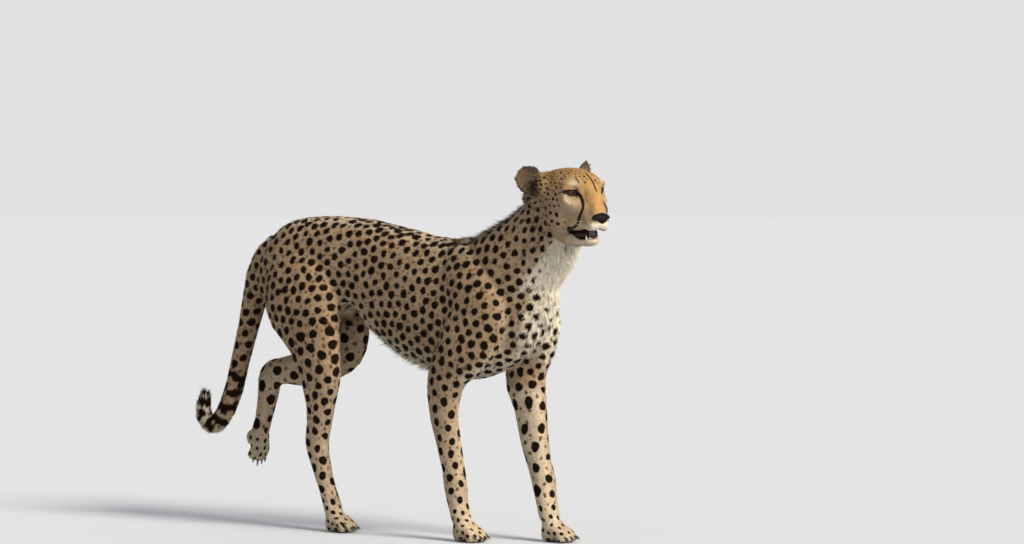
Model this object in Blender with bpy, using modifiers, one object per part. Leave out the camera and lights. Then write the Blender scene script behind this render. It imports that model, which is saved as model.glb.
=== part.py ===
"""A life-size cheetah in mid stride: a still model for a museum, in metres, +Z up.

The animal faces +X, its left side is +Y, and its feet stand on z = 0. Its left hind foot is lifted.
The flesh is modelled whole from lofts and ellipsoids, fused into one form, and then parted into
head, neck, trunk, tail and legs with thin cuts. Eyes, ears and nose are pieces of their own.
"""

import math

import bmesh
import bpy
from mathutils import Euler, Matrix, Vector

# ---------------------------------------------------------------- driving sizes
RIGHT, LEFT = -1, 1
GAP = 0.0004  # between two pieces
RING_SIDES = 20
STEPS_PER_SPAN = 4
VOXEL = 0.0048
SMOOTH_PASSES = 5
BODY_TRIANGLES, HEAD_TRIANGLES = 3330, 1490

HEAD_AT = Vector((0.593, -0.070, 0.844))  # midway between the eyes
HEAD_TURN = Euler((math.radians(3.5), 0, math.radians(-21.0)))  # it looks to its right

BODY_COLOUR = (0.60, 0.42, 0.22, 1)
PALE_COLOUR = (0.80, 0.72, 0.58, 1)
DARK_COLOUR = (0.015, 0.012, 0.010, 1)
EYE_COLOUR = (0.32, 0.13, 0.02, 1)

# Each row is one cross-section: where its middle is (x, y, z), its half width, and how far it
# reaches above and below the middle. On a leg, above is the front and below is the back.
TRUNK = (
    (-0.437, 0, 0.660, 0.026, 0.055, 0.050),  # under the tail
    (-0.400, 0, 0.645, 0.055, 0.100, 0.090),  # buttocks
    (-0.330, 0, 0.640, 0.074, 0.130, 0.125),  # pelvis
    (-0.230, 0, 0.648, 0.078, 0.133, 0.125),  # loin
    (-0.120, 0, 0.645, 0.076, 0.131, 0.103),  # waist
    (-0.065, 0, 0.630, 0.080, 0.138, 0.116),
    (-0.015, 0, 0.610, 0.084, 0.150, 0.138),  # last ribs
    (0.080, 0, 0.575, 0.090, 0.163, 0.161),  # middle of the rib cage
    (0.170, 0, 0.565, 0.090, 0.164, 0.180),  # behind the shoulders
    (0.260, 0, 0.570, 0.086, 0.166, 0.175),  # withers
    (0.350, 0, 0.575, 0.074, 0.136, 0.140),  # shoulders
    (0.420, 0, 0.577, 0.053, 0.088, 0.088),  # breast
    (0.452, 0, 0.570, 0.020, 0.032, 0.036),
)
NECK = (
    (0.225, 0, 0.600, 0.070, 0.115, 0.110),
    (0.305, 0, 0.640, 0.082, 0.120, 0.122),
    (0.357, 0, 0.678, 0.084, 0.110, 0.118),
    (0.398, 0, 0.7105, 0.080, 0.100, 0.108),
    (0.439, -0.006, 0.747, 0.074, 0.092, 0.096),
    (0.477, -0.018, 0.787, 0.068, 0.076, 0.078),
    (0.500, -0.028, 0.815, 0.060, 0.055, 0.065),
)
FORELEG_RIGHT = (
    (0.190, -0.040, 0.700, 0.020, 0.040, 0.045),  # top of the shoulder blade
    (0.225, -0.062, 0.640, 0.034, 0.070, 0.060),
    (0.275, -0.070, 0.560, 0.040, 0.085, 0.085),  # point of the shoulder
    (0.255, -0.076, 0.480, 0.040, 0.080, 0.085),
    (0.205, -0.078, 0.420, 0.036, 0.062, 0.058),  # elbow
    (0.185, -0.076, 0.370, 0.033, 0.049, 0.049),
    (0.177, -0.068, 0.305, 0.029, 0.038, 0.039),
    (0.184, -0.059, 0.240, 0.027, 0.033, 0.034),
    (0.193, -0.052, 0.175, 0.026, 0.029, 0.030),
    (0.196, -0.048, 0.140, 0.028, 0.030, 0.031),  # wrist
    (0.202, -0.045, 0.095, 0.027, 0.024, 0.027),
    (0.212, -0.044, 0.055, 0.029, 0.023, 0.025),
)
FORELEG_LEFT = (
    (0.230, 0.040, 0.690, 0.020, 0.040, 0.045),
    (0.285, 0.062, 0.630, 0.034, 0.076, 0.070),
    (0.340, 0.074, 0.555, 0.038, 0.072, 0.085),
    (0.335, 0.081, 0.480, 0.038, 0.064, 0.075),
    (0.313, 0.085, 0.420, 0.036, 0.056, 0.060),
    (0.313, 0.085, 0.375, 0.034, 0.051, 0.058),
    (0.326, 0.083, 0.315, 0.031, 0.043, 0.045),
    (0.338, 0.080, 0.245, 0.029, 0.038, 0.038),
    (0.354, 0.078, 0.190, 0.027, 0.032, 0.033),
    (0.368, 0.077, 0.145, 0.029, 0.030, 0.031),
    (0.377, 0.076, 0.098, 0.028, 0.025, 0.027),
    (0.388, 0.076, 0.056, 0.029, 0.023, 0.025),
)
HINDLEG_RIGHT = (
    (-0.300, -0.035, 0.700, 0.030, 0.070, 0.075),  # hip
    (-0.285, -0.050, 0.640, 0.044, 0.100, 0.105),
    (-0.262, -0.058, 0.570, 0.048, 0.110, 0.118),
    (-0.235, -0.064, 0.505, 0.044, 0.090, 0.096),
    (-0.219, -0.066, 0.450, 0.038, 0.071, 0.073),  # knee
    (-0.209, -0.062, 0.385, 0.034, 0.060, 0.061),
    (-0.217, -0.050, 0.315, 0.029, 0.041, 0.043),
    (-0.228, -0.040, 0.262, 0.025, 0.032, 0.038),
    (-0.238, -0.032, 0.215, 0.024, 0.028, 0.038),  # hock
    (-0.228, -0.026, 0.150, 0.022, 0.022, 0.027),
    (-0.213, -0.022, 0.095, 0.023, 0.021, 0.023),
    (-0.200, -0.020, 0.052, 0.028, 0.022, 0.022),
)
HINDLEG_LEFT = (
    (-0.310, 0.035, 0.700, 0.030, 0.070, 0.075),
    (-0.295, 0.050, 0.640, 0.044, 0.095, 0.100),
    (-0.270, 0.058, 0.570, 0.048, 0.100, 0.105),
    (-0.243, 0.064, 0.505, 0.044, 0.084, 0.085),
    (-0.248, 0.068, 0.455, 0.038, 0.073, 0.062),
    (-0.303, 0.069, 0.422, 0.034, 0.062, 0.046),
    (-0.365, 0.068, 0.400, 0.030, 0.052, 0.040),
    (-0.425, 0.066, 0.390, 0.026, 0.038, 0.034),
    (-0.464, 0.065, 0.372, 0.024, 0.032, 0.040),
    (-0.478, 0.064, 0.320, 0.023, 0.028, 0.030),
    (-0.492, 0.063, 0.265, 0.022, 0.023, 0.023),
    (-0.505, 0.062, 0.222, 0.027, 0.022, 0.022),
)
# The tail hangs behind the hind legs and curls up at its end: (x, y, z, radius).
TAIL = (
    (-0.385, 0, 0.705, 0.034),
    (-0.422, 0, 0.678, 0.036),
    (-0.447, 0, 0.635, 0.036),
    (-0.461, 0, 0.590, 0.0340),
    (-0.475, 0, 0.545, 0.0315),
    (-0.488, 0, 0.500, 0.0285),
    (-0.516, 0, 0.410, 0.0258),
    (-0.532, 0, 0.354, 0.0256),
    (-0.546, 0, 0.318, 0.0256),
    (-0.565, 0, 0.282, 0.0258),
    (-0.590, 0, 0.254, 0.0256),
    (-0.616, 0, 0.252, 0.0250),
    (-0.634, 0, 0.275, 0.0240),
    (-0.634, 0, 0.305, 0.0210),
    (-0.627, 0, 0.332, 0.0130),
)

# ---------------------------------------------------------------- the scene and its collections
for old in list(bpy.data.objects):
    bpy.data.objects.remove(old, do_unlink=True)

CHEETAH = bpy.data.collections.new("cheetah")
CUTTERS = bpy.data.collections.new("cutters")
CUTTERS.hide_render = True
for group in (CHEETAH, CUTTERS):
    bpy.context.scene.collection.children.link(group)


def material(name, colour, roughness):
    made = bpy.data.materials.new(name)
    made.use_nodes = True
    shader = made.node_tree.nodes["Principled BSDF"]
    shader.inputs["Base Color"].default_value = colour
    shader.inputs["Roughness"].default_value = roughness
    return made


# ---------------------------------------------------------------- shaping tools
def blend_rows(rows):
    """The rows with more between them, on a smooth curve through every number."""
    padded = [rows[0], *rows, rows[-1]]
    out = []
    for before, here, there, after in zip(padded, padded[1:], padded[2:], padded[3:]):
        for step in range(STEPS_PER_SPAN):
            t = step / STEPS_PER_SPAN
            weights = (
                (-t + 2 * t**2 - t**3) / 2,
                (2 - 5 * t**2 + 3 * t**3) / 2,
                (t + 4 * t**2 - 3 * t**3) / 2,
                (t**3 - t**2) / 2,
            )
            four = zip(before, here, there, after)
            out.append(tuple(sum(w * n for w, n in zip(weights, each)) for each in four))
    return [*out, rows[-1]]


def add_ring(bm, centre, along, half_width, above, below, squareness):
    """One closed loop of edges round `centre`, across the direction `along`."""
    across = (Vector((0, 1, 0)) - along * along.y).normalized()
    upward = along.cross(across)
    loop = bmesh.ops.create_circle(bm, segments=RING_SIDES, radius=1)["verts"]
    for vert in loop:
        side, rise = vert.co.x, vert.co.y
        power = 2 / squareness
        side = math.copysign(abs(side) ** power, side) * half_width
        rise = math.copysign(abs(rise) ** power, rise) * (above if rise > 0 else below)
        vert.co = centre + across * side + upward * rise
    return list({edge for vert in loop for edge in vert.link_edges})


def loft(rows, squareness=2.2):
    """A closed body through the rows, each (x, y, z, half width, above, below)."""
    bm = bmesh.new()
    rows = blend_rows(rows)
    middles = [Vector(row[:3]) for row in rows]
    loops = []
    for i, row in enumerate(rows):
        along = (middles[min(i + 1, len(rows) - 1)] - middles[max(i - 1, 0)]).normalized()
        loops.append(add_ring(bm, middles[i], along, *row[3:], squareness))
    for first, second in zip(loops, loops[1:]):
        bmesh.ops.bridge_loops(bm, edges=first + second)
    for end in (loops[0], loops[-1]):
        bmesh.ops.contextual_create(bm, geom=end)
    return bm


def tube(rows):
    return loft([(x, y, z, r, r, r) for x, y, z, r in rows], squareness=2.0)


def ellipsoid(centre, radii, turn=(0, 0, 0), fineness=24):
    """A ball stretched to `radii`; `turn` is roll, pitch (nose down) and yaw in degrees."""
    bm = bmesh.new()
    place = Matrix.Translation(centre) @ Euler([math.radians(a) for a in turn]).to_matrix().to_4x4()
    stretch = Matrix.Diagonal((*radii, 1))
    rings = fineness * 2 // 3
    bmesh.ops.create_uvsphere(
        bm, u_segments=fineness, v_segments=rings, radius=1, matrix=place @ stretch
    )
    return bm


def joined(parts, place=None):
    """Several bodies as one, set down at `place`."""
    whole = bmesh.new()
    for part in parts:
        if place:
            bmesh.ops.transform(part, matrix=place, verts=part.verts)
        mesh = bpy.data.meshes.new("part")
        part.to_mesh(mesh)
        part.free()
        whole.from_mesh(mesh)
        bpy.data.meshes.remove(mesh)
    return whole


def new_object(name, bm, to=CHEETAH):
    bmesh.ops.recalc_face_normals(bm, faces=bm.faces)
    mesh = bpy.data.meshes.new(name)
    bm.to_mesh(mesh)
    bm.free()
    obj = bpy.data.objects.new(name, mesh)
    to.objects.link(obj)
    if to == CUTTERS:
        obj.hide_render = True
        obj.display_type = "WIRE"
    return obj


def modify(obj, kind, **settings):
    """One modifier worked into the object's mesh."""
    step = obj.modifiers.new(kind.lower(), kind)
    for key, value in settings.items():
        setattr(step, key, value)
    bpy.context.view_layer.update()
    graph = bpy.context.evaluated_depsgraph_get()
    obj.data = bpy.data.meshes.new_from_object(obj.evaluated_get(graph))
    obj.modifiers.clear()
    return obj


def cut(obj, cutter, operation="DIFFERENCE"):
    return modify(obj, "BOOLEAN", object=cutter, operation=operation, solver="EXACT")


def grown(obj, by):
    """A hidden copy of the object, its skin moved out by `by`."""
    copy = obj.copy()
    copy.data = obj.data.copy()
    CUTTERS.objects.link(copy)
    copy.hide_render = True
    copy.display_type = "WIRE"
    return modify(copy, "DISPLACE", strength=by, mid_level=0)


def loose_pieces(obj):
    """The separate bodies of the object's mesh, each as its own bmesh, biggest first."""
    bm = bmesh.new()
    bm.from_mesh(obj.data)
    unseen = set(bm.verts)
    groups = []
    while unseen:
        stack = [unseen.pop()]
        group = []
        while stack:
            vert = stack.pop()
            group.append(vert)
            for edge in vert.link_edges:
                other = edge.other_vert(vert)
                if other in unseen:
                    unseen.remove(other)
                    stack.append(other)
        groups.append(group)
    pieces = []
    for group in sorted(groups, key=len, reverse=True):
        number = {vert: i for i, vert in enumerate(group)}
        piece = bmesh.new()
        corners = [piece.verts.new(vert.co) for vert in group]
        for face in {face for vert in group for face in vert.link_faces}:
            piece.faces.new([corners[number[vert]] for vert in face.verts])
        pieces.append(piece)
    bm.free()
    return pieces


# ---------------------------------------------------------------- head
HEAD_TO_BODY = Matrix.Translation(HEAD_AT) @ HEAD_TURN.to_matrix().to_4x4()
# All head sizes are measured from midway between the eyes, the nose along +X.
SKULL = (
    (-0.142, 0, -0.006, 0.022, 0.030, 0.030),
    (-0.125, 0, -0.006, 0.050, 0.058, 0.056),
    (-0.090, 0, -0.012, 0.064, 0.069, 0.070),  # crown
    (-0.050, 0, -0.018, 0.065, 0.073, 0.072),
    (-0.015, 0, -0.026, 0.058, 0.071, 0.064),  # forehead
    (0.012, 0, -0.040, 0.029, 0.058, 0.050),  # between the eyes
    (0.034, 0, -0.054, 0.023, 0.039, 0.038),  # bridge of the nose
    (0.052, 0, -0.064, 0.021, 0.021, 0.028),
    (0.066, 0, -0.068, 0.011, 0.010, 0.015),
)
FACE_PAIRS = (  # middle, radii and tilt of each mass on the left; the right is its mirror
    ((-0.008, 0.041, 0.013), (0.021, 0.018, 0.013), (0, 8, -18)),  # brow
    ((-0.010, 0.045, -0.021), (0.030, 0.018, 0.022), (0, 16, -12)),  # cheek bone
    ((-0.058, 0.035, -0.058), (0.048, 0.032, 0.048), (0, 0, 0)),  # jaw muscle
    ((-0.014, 0.030, -0.066), (0.040, 0.020, 0.032), (0, 20, -10)),  # cheek
    ((0.016, 0.031, -0.046), (0.024, 0.015, 0.022), (0, 25, -10)),  # beside the nose
    ((0.037, 0.0150, -0.073), (0.026, 0.0175, 0.020), (0, 6, -8)),  # whisker pad
    ((-0.097, 0.054, 0.018), (0.028, 0.024, 0.030), (20, 0, 0)),  # root of the ear
    ((-0.135, 0.062, -0.012), (0.026, 0.026, 0.028), (0, 0, 0)),  # behind the ear
)
JAW = (
    (-0.085, 0, -0.085, 0.048, 0.030, 0.036),
    (-0.045, 0, -0.108, 0.045, 0.020, 0.025),
    (-0.015, 0, -0.114, 0.037, 0.012, 0.019),
    (0.010, 0, -0.116, 0.026, 0.008, 0.015),
    (0.024, 0, -0.116, 0.018, 0.007, 0.012),
    (0.033, 0, -0.115, 0.007, 0.004, 0.006),
)
MOUTH = ((-0.022, -0.091), (0.100, -0.093), (0.100, -0.110), (0.002, -0.106))  # x, z of the opening
MOUTH_HALF_WIDTH = 0.075
EYE_AT = (-0.0095, 0.0338, -0.001)
EYE_RADIUS, EYE_FACES, EYE_STANDS_OUT = 0.0165, 40, 0.0058
ORBIT_RADIUS = 0.026
NOSE_AT, NOSE_RADII = (0.0570, 0, -0.0635), (0.0130, 0.0212, 0.0132)
EAR_AT = (-0.110, 0.082, 0.029)
EAR_HALF_WIDTH, EAR_HALF_HEIGHT, EAR_DEPTH, EAR_THICKNESS = 0.034, 0.037, 0.025, 0.009
EAR_FACES, EAR_LEANS = 38, 30  # degrees outward
CANINE_AT, CANINE_RADIUS, CANINE_LENGTH = (0.019, 0.015, -0.1095), 0.0030, 0.014


def head_masses():
    parts = [loft(SKULL, 2.35), loft(JAW)]
    for (x, y, z), radii, (roll, pitch, yaw) in FACE_PAIRS:
        for side in (RIGHT, LEFT):
            parts.append(ellipsoid((x, y * side, z), radii, (roll * side, pitch, yaw * side)))
    return joined(parts, HEAD_TO_BODY)


def mouth_opening():
    bm = bmesh.new()
    face = bm.faces.new([bm.verts.new((x, -MOUTH_HALF_WIDTH, z)) for x, z in MOUTH])
    slab = bmesh.ops.extrude_face_region(bm, geom=[face])["geom"]
    moved = [item for item in slab if isinstance(item, bmesh.types.BMVert)]
    bmesh.ops.translate(bm, verts=moved, vec=(0, 2 * MOUTH_HALF_WIDTH, 0))
    return joined([bm], HEAD_TO_BODY)


def ear(side):
    """A cupped shell: a ball pressed into a bowl, wide at the top and narrow at the root."""
    bm = ellipsoid((0, 0, 0), (1, 1, 1), fineness=15)
    for vert in bm.verts:
        x, y, z = vert.co
        bowl = max(0.0, 1 - y * y - z * z)
        deep = -EAR_DEPTH * bowl**0.6 + (EAR_THICKNESS * bowl**0.5 if x > 0 else 0)
        vert.co = (deep, y * EAR_HALF_WIDTH * (1 + 0.22 * min(z, 0)), z * EAR_HALF_HEIGHT)
    x, y, z = EAR_AT
    place = (
        HEAD_TO_BODY
        @ Matrix.Translation((x, y * side, z))
        @ Matrix.Rotation(math.radians(EAR_FACES * side), 4, "Z")
        @ Matrix.Rotation(math.radians(-EAR_LEANS * side), 4, "X")
    )
    return joined([bm], place)


def eye(side, radius=EYE_RADIUS):
    x, y, z = EYE_AT
    return joined([ellipsoid((x, y * side, z), (radius,) * 3, fineness=15)], HEAD_TO_BODY)


def orbit(side):
    """The shallow dish round an eye, from which the eye stands out a little."""
    gaze = Vector((1, 0, 0))
    gaze.rotate(Euler((0, 0, math.radians(EYE_FACES * side))))
    x, y, z = EYE_AT
    middle = Vector((x, y * side, z)) + gaze * (EYE_RADIUS + ORBIT_RADIUS - EYE_STANDS_OUT)
    return joined([ellipsoid(middle, (ORBIT_RADIUS,) * 3, fineness=18)], HEAD_TO_BODY)


def canines():
    x, y, z = CANINE_AT
    tips = []
    for side in (RIGHT, LEFT):
        bm = bmesh.new()
        bmesh.ops.create_cone(
            bm,
            cap_ends=True,
            segments=8,
            radius1=CANINE_RADIUS,
            radius2=CANINE_RADIUS * 0.25,
            depth=CANINE_LENGTH,
            matrix=Matrix.Translation((x, y * side, z)),
        )
        tips.append(bm)
    return joined(tips, HEAD_TO_BODY)


# ---------------------------------------------------------------- paws
TOES = (-1.5, -0.5, 0.5, 1.5)
SOLE_DIP = 0.003  # the pads are made this much too low, then cut flat at the floor
CLAW_RADIUS, CLAW_LENGTH, CLAW_DIPS = 0.0032, 0.020, 20


def paw(place, scale):
    """A paw whose sole lies at the origin of `place`, its toes along +X."""
    parts = [
        ellipsoid((0.000, 0, 0.030), (0.031, 0.030, 0.031)),
        ellipsoid((-0.006, 0, 0.012), (0.025, 0.025, 0.012 + SOLE_DIP)),  # main pad
    ]
    for slot in TOES:
        y = slot * 0.0155
        back = -0.006 * (abs(slot) - 0.5)  # the outer toes start further back
        rows = (
            (back, y * 0.80, 0.031, 0.0120),
            (back + 0.024, y * 0.95, 0.030, 0.0125),
            (back + 0.041, y * 1.05, 0.018, 0.0128),
            (back + 0.051, y * 1.08, 0.010, 0.0105),
        )
        parts.append(tube(rows))
        parts.append(ellipsoid((back + 0.043, y * 1.05, 0.008), (0.014, 0.0112, 0.008 + SOLE_DIP)))
    return joined(parts, place @ Matrix.Scale(scale, 4))


def claws(place, scale):
    """Four short blunt claws at the ends of the toes, pointing forward and a little down."""
    parts = []
    for slot in TOES:
        back = -0.006 * (abs(slot) - 0.5)
        at = Matrix.Translation((back + 0.0585, slot * 0.0155 * 1.08, 0.0115))
        down = Matrix.Rotation(math.radians(90 + CLAW_DIPS), 4, "Y")
        bm = bmesh.new()
        bmesh.ops.create_cone(
            bm,
            cap_ends=True,
            segments=6,
            radius1=CLAW_RADIUS,
            radius2=CLAW_RADIUS * 0.3,
            depth=CLAW_LENGTH,
            matrix=at @ down,
        )
        parts.append(bm)
    return joined(parts, place @ Matrix.Scale(scale, 4))


def standing(x, y, heading):
    return Matrix.Translation((x, y, 0)) @ Matrix.Rotation(math.radians(heading), 4, "Z")


PAWS = {  # where each paw is set down, and its size beside the fore paw's
    "forepaw_right": (standing(0.220, -0.044, -2), 1.0),
    "forepaw_left": (standing(0.396, 0.076, 3), 1.0),
    "hindpaw_right": (standing(-0.192, -0.020, 0), 0.95),
    "hindpaw_left": (  # lifted, its toes hanging down
        Matrix.Translation((-0.533, 0.061, 0.205)) @ Matrix.Rotation(math.radians(70), 4, "Y"),
        0.95,
    ),
}


# ---------------------------------------------------------------- the flesh, whole
def flesh():
    parts = [loft(TRUNK, 2.3), loft(NECK), tube(TAIL), head_masses()]
    parts += [loft(leg) for leg in (FORELEG_RIGHT, FORELEG_LEFT, HINDLEG_RIGHT, HINDLEG_LEFT)]
    parts += [paw(place, scale) for place, scale in PAWS.values()]
    body = new_object("body", joined(parts))
    modify(body, "REMESH", mode="VOXEL", voxel_size=VOXEL)
    return modify(body, "SMOOTH", iterations=SMOOTH_PASSES)


def thinned(obj, triangles):
    corners = sum(len(face.vertices) - 2 for face in obj.data.polygons)
    return modify(obj, "DECIMATE", ratio=triangles / corners)


# ---------------------------------------------------------------- the cuts that part it
# Each cut is a thin slab: its middle, its half sizes across, and its turn in degrees.
CUTS = {
    "neck_and_trunk": ((0.400, 0.00, 0.680), (0.24, 0.14), (0, 62, 0)),
    "tail_base": ((-0.474, 0, 0.548), (0.044, 0.050), (0, 17, 0)),
    "tail_middle": ((-0.503, 0, 0.450), (0.045, 0.045), (0, 15, 0)),
    "tail_tip": ((-0.561, 0, 0.290), (0.040, 0.040), (0, 30, 0)),
    "elbow_right": ((0.185, -0.080, 0.375), (0.075, 0.055), (0, 0, 0)),
    "elbow_left": ((0.313, 0.085, 0.372), (0.075, 0.055), (0, 0, 0)),
    "wrist_right": ((0.204, -0.045, 0.085), (0.060, 0.060), (0, 0, 0)),
    "wrist_left": ((0.380, 0.076, 0.085), (0.060, 0.060), (0, 0, 0)),
    "knee_right": ((-0.235, -0.075, 0.500), (0.130, 0.070), (0, 0, 0)),
    "knee_left": ((-0.245, 0.075, 0.500), (0.130, 0.070), (0, 0, 0)),
    "hock_right": ((-0.218, -0.036, 0.245), (0.070, 0.050), (0, 0, 0)),
    "hock_left": ((-0.432, 0.066, 0.385), (0.060, 0.050), (0, 70, 0)),
    "hind_toes_right": ((-0.185, -0.022, 0.078), (0.055, 0.050), (0, 0, 0)),
    "hind_toes_left": ((-0.500, 0.062, 0.238), (0.050, 0.050), (0, 10, 0)),
}
JAW_CUT = ((-0.118, 0, -0.0912), (0.100, 0.100), (0, 0, 0))  # in the head, back from the mouth
# Where each piece is found once the cuts are made.
PIECES = {
    "trunk": (0.05, 0, 0.60),
    "neck": (0.40, 0, 0.72),
    "head": (0.58, -0.07, 0.83),
    "lower_jaw": (0.57, -0.06, 0.73),
    "tail_base": (-0.488, 0, 0.50),
    "tail_middle": (-0.51, 0, 0.37),
    "tail_tip": (-0.59, 0, 0.26),
    "foreleg_right": (0.185, -0.06, 0.24),
    "foreleg_left": (0.340, 0.08, 0.24),
    "forepaw_right": (0.22, -0.044, 0.04),
    "forepaw_left": (0.396, 0.076, 0.04),
    "hindleg_right": (-0.215, -0.06, 0.38),
    "hindleg_left": (-0.30, 0.068, 0.42),
    "hindfoot_right": (-0.208, -0.026, 0.15),
    "hindfoot_left": (-0.480, 0.064, 0.31),
    "hindpaw_right": (-0.17, -0.02, 0.04),
    "hindpaw_left": (-0.525, 0.062, 0.19),
}


def slab(middle, half_sizes, turn, thickness=GAP):
    bm = bmesh.new()
    place = Matrix.Translation(middle) @ Euler([math.radians(a) for a in turn]).to_matrix().to_4x4()
    size = Matrix.Diagonal((2 * half_sizes[0], 2 * half_sizes[1], thickness, 1))
    bmesh.ops.create_cube(bm, size=1, matrix=place @ size)
    return bm


# The head is parted from the neck first, because it keeps more detail than the rest.
NAPE_CUT = {"middle": Vector((0.495, -0.030, 0.790)), "turn": (0, 68, -18)}
BLOCK = 3.0
SEAM = 0.012  # each side is thinned with this much of the other, then cut again


def nape_block(side, beyond):
    """A block on one side of the nape (+1 the head's), standing `beyond` away from the cut."""
    facing = Euler([math.radians(a) for a in NAPE_CUT["turn"]]).to_matrix() @ Vector((0, 0, 1))
    middle = NAPE_CUT["middle"] + facing * side * (BLOCK / 2 + beyond)
    return slab(middle, (BLOCK / 2, BLOCK / 2), NAPE_CUT["turn"], BLOCK)


WHOLE = flesh()
HEAD = grown(WHOLE, 0)
cut(HEAD, new_object("head_outside", nape_block(-1, SEAM), CUTTERS))
cut(WHOLE, new_object("body_outside", nape_block(1, SEAM), CUTTERS))
thinned(HEAD, HEAD_TRIANGLES)
thinned(WHOLE, BODY_TRIANGLES)
floor = slab((0, 0, -BLOCK / 2), (BLOCK, BLOCK), (0, 0, 0), BLOCK)
cut(WHOLE, new_object("floor_cutter", floor, CUTTERS))
cut(HEAD, new_object("head_edge", nape_block(-1, -GAP / 2), CUTTERS))
cut(WHOLE, new_object("body_edge", nape_block(1, -GAP / 2), CUTTERS))
cut(HEAD, new_object("mouth_cutter", mouth_opening(), CUTTERS))
SKIN = grown(HEAD, GAP)
NECK_SKIN = grown(WHOLE, GAP)
for name, side in (("ear_left", LEFT), ("ear_right", RIGHT)):
    piece = cut(cut(new_object(name, ear(side)), SKIN), NECK_SKIN)
    keep = loose_pieces(piece)[0]
    keep.to_mesh(piece.data)
nose = cut(new_object("nose", joined([ellipsoid(NOSE_AT, NOSE_RADII, (0, 20, 0), 15)], HEAD_TO_BODY)), SKIN)
loose_pieces(nose)[0].to_mesh(nose.data)
for name, side in (("eye_left", LEFT), ("eye_right", RIGHT)):
    new_object(name, eye(side))
    cut(HEAD, new_object(name + "_orbit", orbit(side), CUTTERS))
    cut(HEAD, new_object(name + "_socket", eye(side, EYE_RADIUS + GAP), CUTTERS))
cut(HEAD, new_object("jaw_cut", joined([slab(*JAW_CUT)], HEAD_TO_BODY), CUTTERS))
cut(WHOLE, new_object("parting_cuts", joined([slab(*size) for size in CUTS.values()]), CUTTERS))

for source in (HEAD, WHOLE):
    for piece in loose_pieces(source):
        middle = sum((vert.co for vert in piece.verts), Vector()) / len(piece.verts)
        name = min(PIECES, key=lambda name: (middle - Vector(PIECES[name])).length)
        new_object(name, piece)
    bpy.data.objects.remove(source, do_unlink=True)
JAW_PIECE = bpy.data.objects["lower_jaw"]
cut(JAW_PIECE, new_object("canines", canines(), CUTTERS), "UNION")
for name, (place, scale) in PAWS.items():
    cut(bpy.data.objects[name], new_object(name + "_claws", claws(place, scale), CUTTERS), "UNION")

# ---------------------------------------------------------------- materials, shading and the frame
COAT = material("coat", BODY_COLOUR, 0.85)
MADE_OF = {
    "lower_jaw": material("pale_coat", PALE_COLOUR, 0.85),
    "nose": material("nose_skin", DARK_COLOUR, 0.45),
    "eye_left": material("eye", EYE_COLOUR, 0.08),
}
MADE_OF["eye_right"] = MADE_OF["eye_left"]
CORNERS = [vert.co for obj in CHEETAH.objects for vert in obj.data.vertices]
CENTRE = Vector([(min(c[i] for c in CORNERS) + max(c[i] for c in CORNERS)) / 2 for i in (0, 1)] + [0])
print("centred by", [round(c, 5) for c in CENTRE])
for obj in CHEETAH.objects:
    obj.data.transform(Matrix.Translation(-CENTRE))
    obj.data.materials.clear()
    obj.data.materials.append(MADE_OF.get(obj.name, COAT))
    obj.data.shade_smooth()
    obj.data.set_sharp_from_angle(angle=math.radians(40))
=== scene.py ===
# %% [markdown]
# # A cheetah in mid stride
# The animal is a still, life-size model. Its solids already give the true outline, out to the tips of
# the coat. This script gives it one skin, lays a coat of small tufts over that skin, and adds eyes,
# nose, teeth, claws and whiskers. It could be made as a bare body with a picture wrapped round it,
# but then the outline would be hard and the spots would look printed.

# %% the frame
import math

import bmesh
import bpy
import numpy as np
from mathutils import Euler, Matrix, Vector, kdtree


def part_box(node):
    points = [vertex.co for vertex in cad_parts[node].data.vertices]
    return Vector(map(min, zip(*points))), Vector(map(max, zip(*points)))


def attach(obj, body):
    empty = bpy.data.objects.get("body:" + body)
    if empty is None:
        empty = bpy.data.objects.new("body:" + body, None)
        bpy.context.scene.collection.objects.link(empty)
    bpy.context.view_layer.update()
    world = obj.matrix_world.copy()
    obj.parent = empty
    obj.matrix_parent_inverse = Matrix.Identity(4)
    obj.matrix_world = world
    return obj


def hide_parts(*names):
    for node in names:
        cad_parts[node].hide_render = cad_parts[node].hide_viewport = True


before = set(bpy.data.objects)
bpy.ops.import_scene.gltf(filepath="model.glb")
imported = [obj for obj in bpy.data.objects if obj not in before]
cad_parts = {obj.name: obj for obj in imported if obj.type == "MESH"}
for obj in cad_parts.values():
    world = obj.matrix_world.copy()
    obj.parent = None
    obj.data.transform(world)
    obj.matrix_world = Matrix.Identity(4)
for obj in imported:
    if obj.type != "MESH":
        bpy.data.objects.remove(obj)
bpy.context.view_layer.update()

LEFT, RIGHT = 1, -1
MM = 0.001

# %% [markdown]
# ## Where the head is
# The head is turned to the animal's right, so its features are easier to place in a frame of their
# own: the nose along +X, the left along +Y, zero midway between the eyes. The two eyeballs are
# round, so the middles of their boxes say where that frame lies.

# %% the head's own frame
HEAD_TURN = Euler((math.radians(3.5), 0, math.radians(-21.0))).to_matrix()
EYES_LIE = Vector((-0.0095, 0, -0.001))
EYE_RADIUS = 0.0165


def middle_of(node):
    low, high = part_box(node)
    return (low + high) / 2


EYES_APART = (middle_of("eye_left") - middle_of("eye_right")).length
HEAD_AT = (middle_of("eye_left") + middle_of("eye_right")) / 2 - HEAD_TURN @ EYES_LIE
HEAD = Matrix.Translation(HEAD_AT) @ HEAD_TURN.to_4x4()
TURN, AT = np.array(HEAD_TURN), np.array(HEAD_AT)


def to_head(points):
    return (points - AT) @ TURN


def from_head(points):
    return points @ TURN.T + AT


print("eyes are", round(EYES_APART * 1000, 1), "mm apart, the head is at", [round(a, 4) for a in HEAD_AT])

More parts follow.
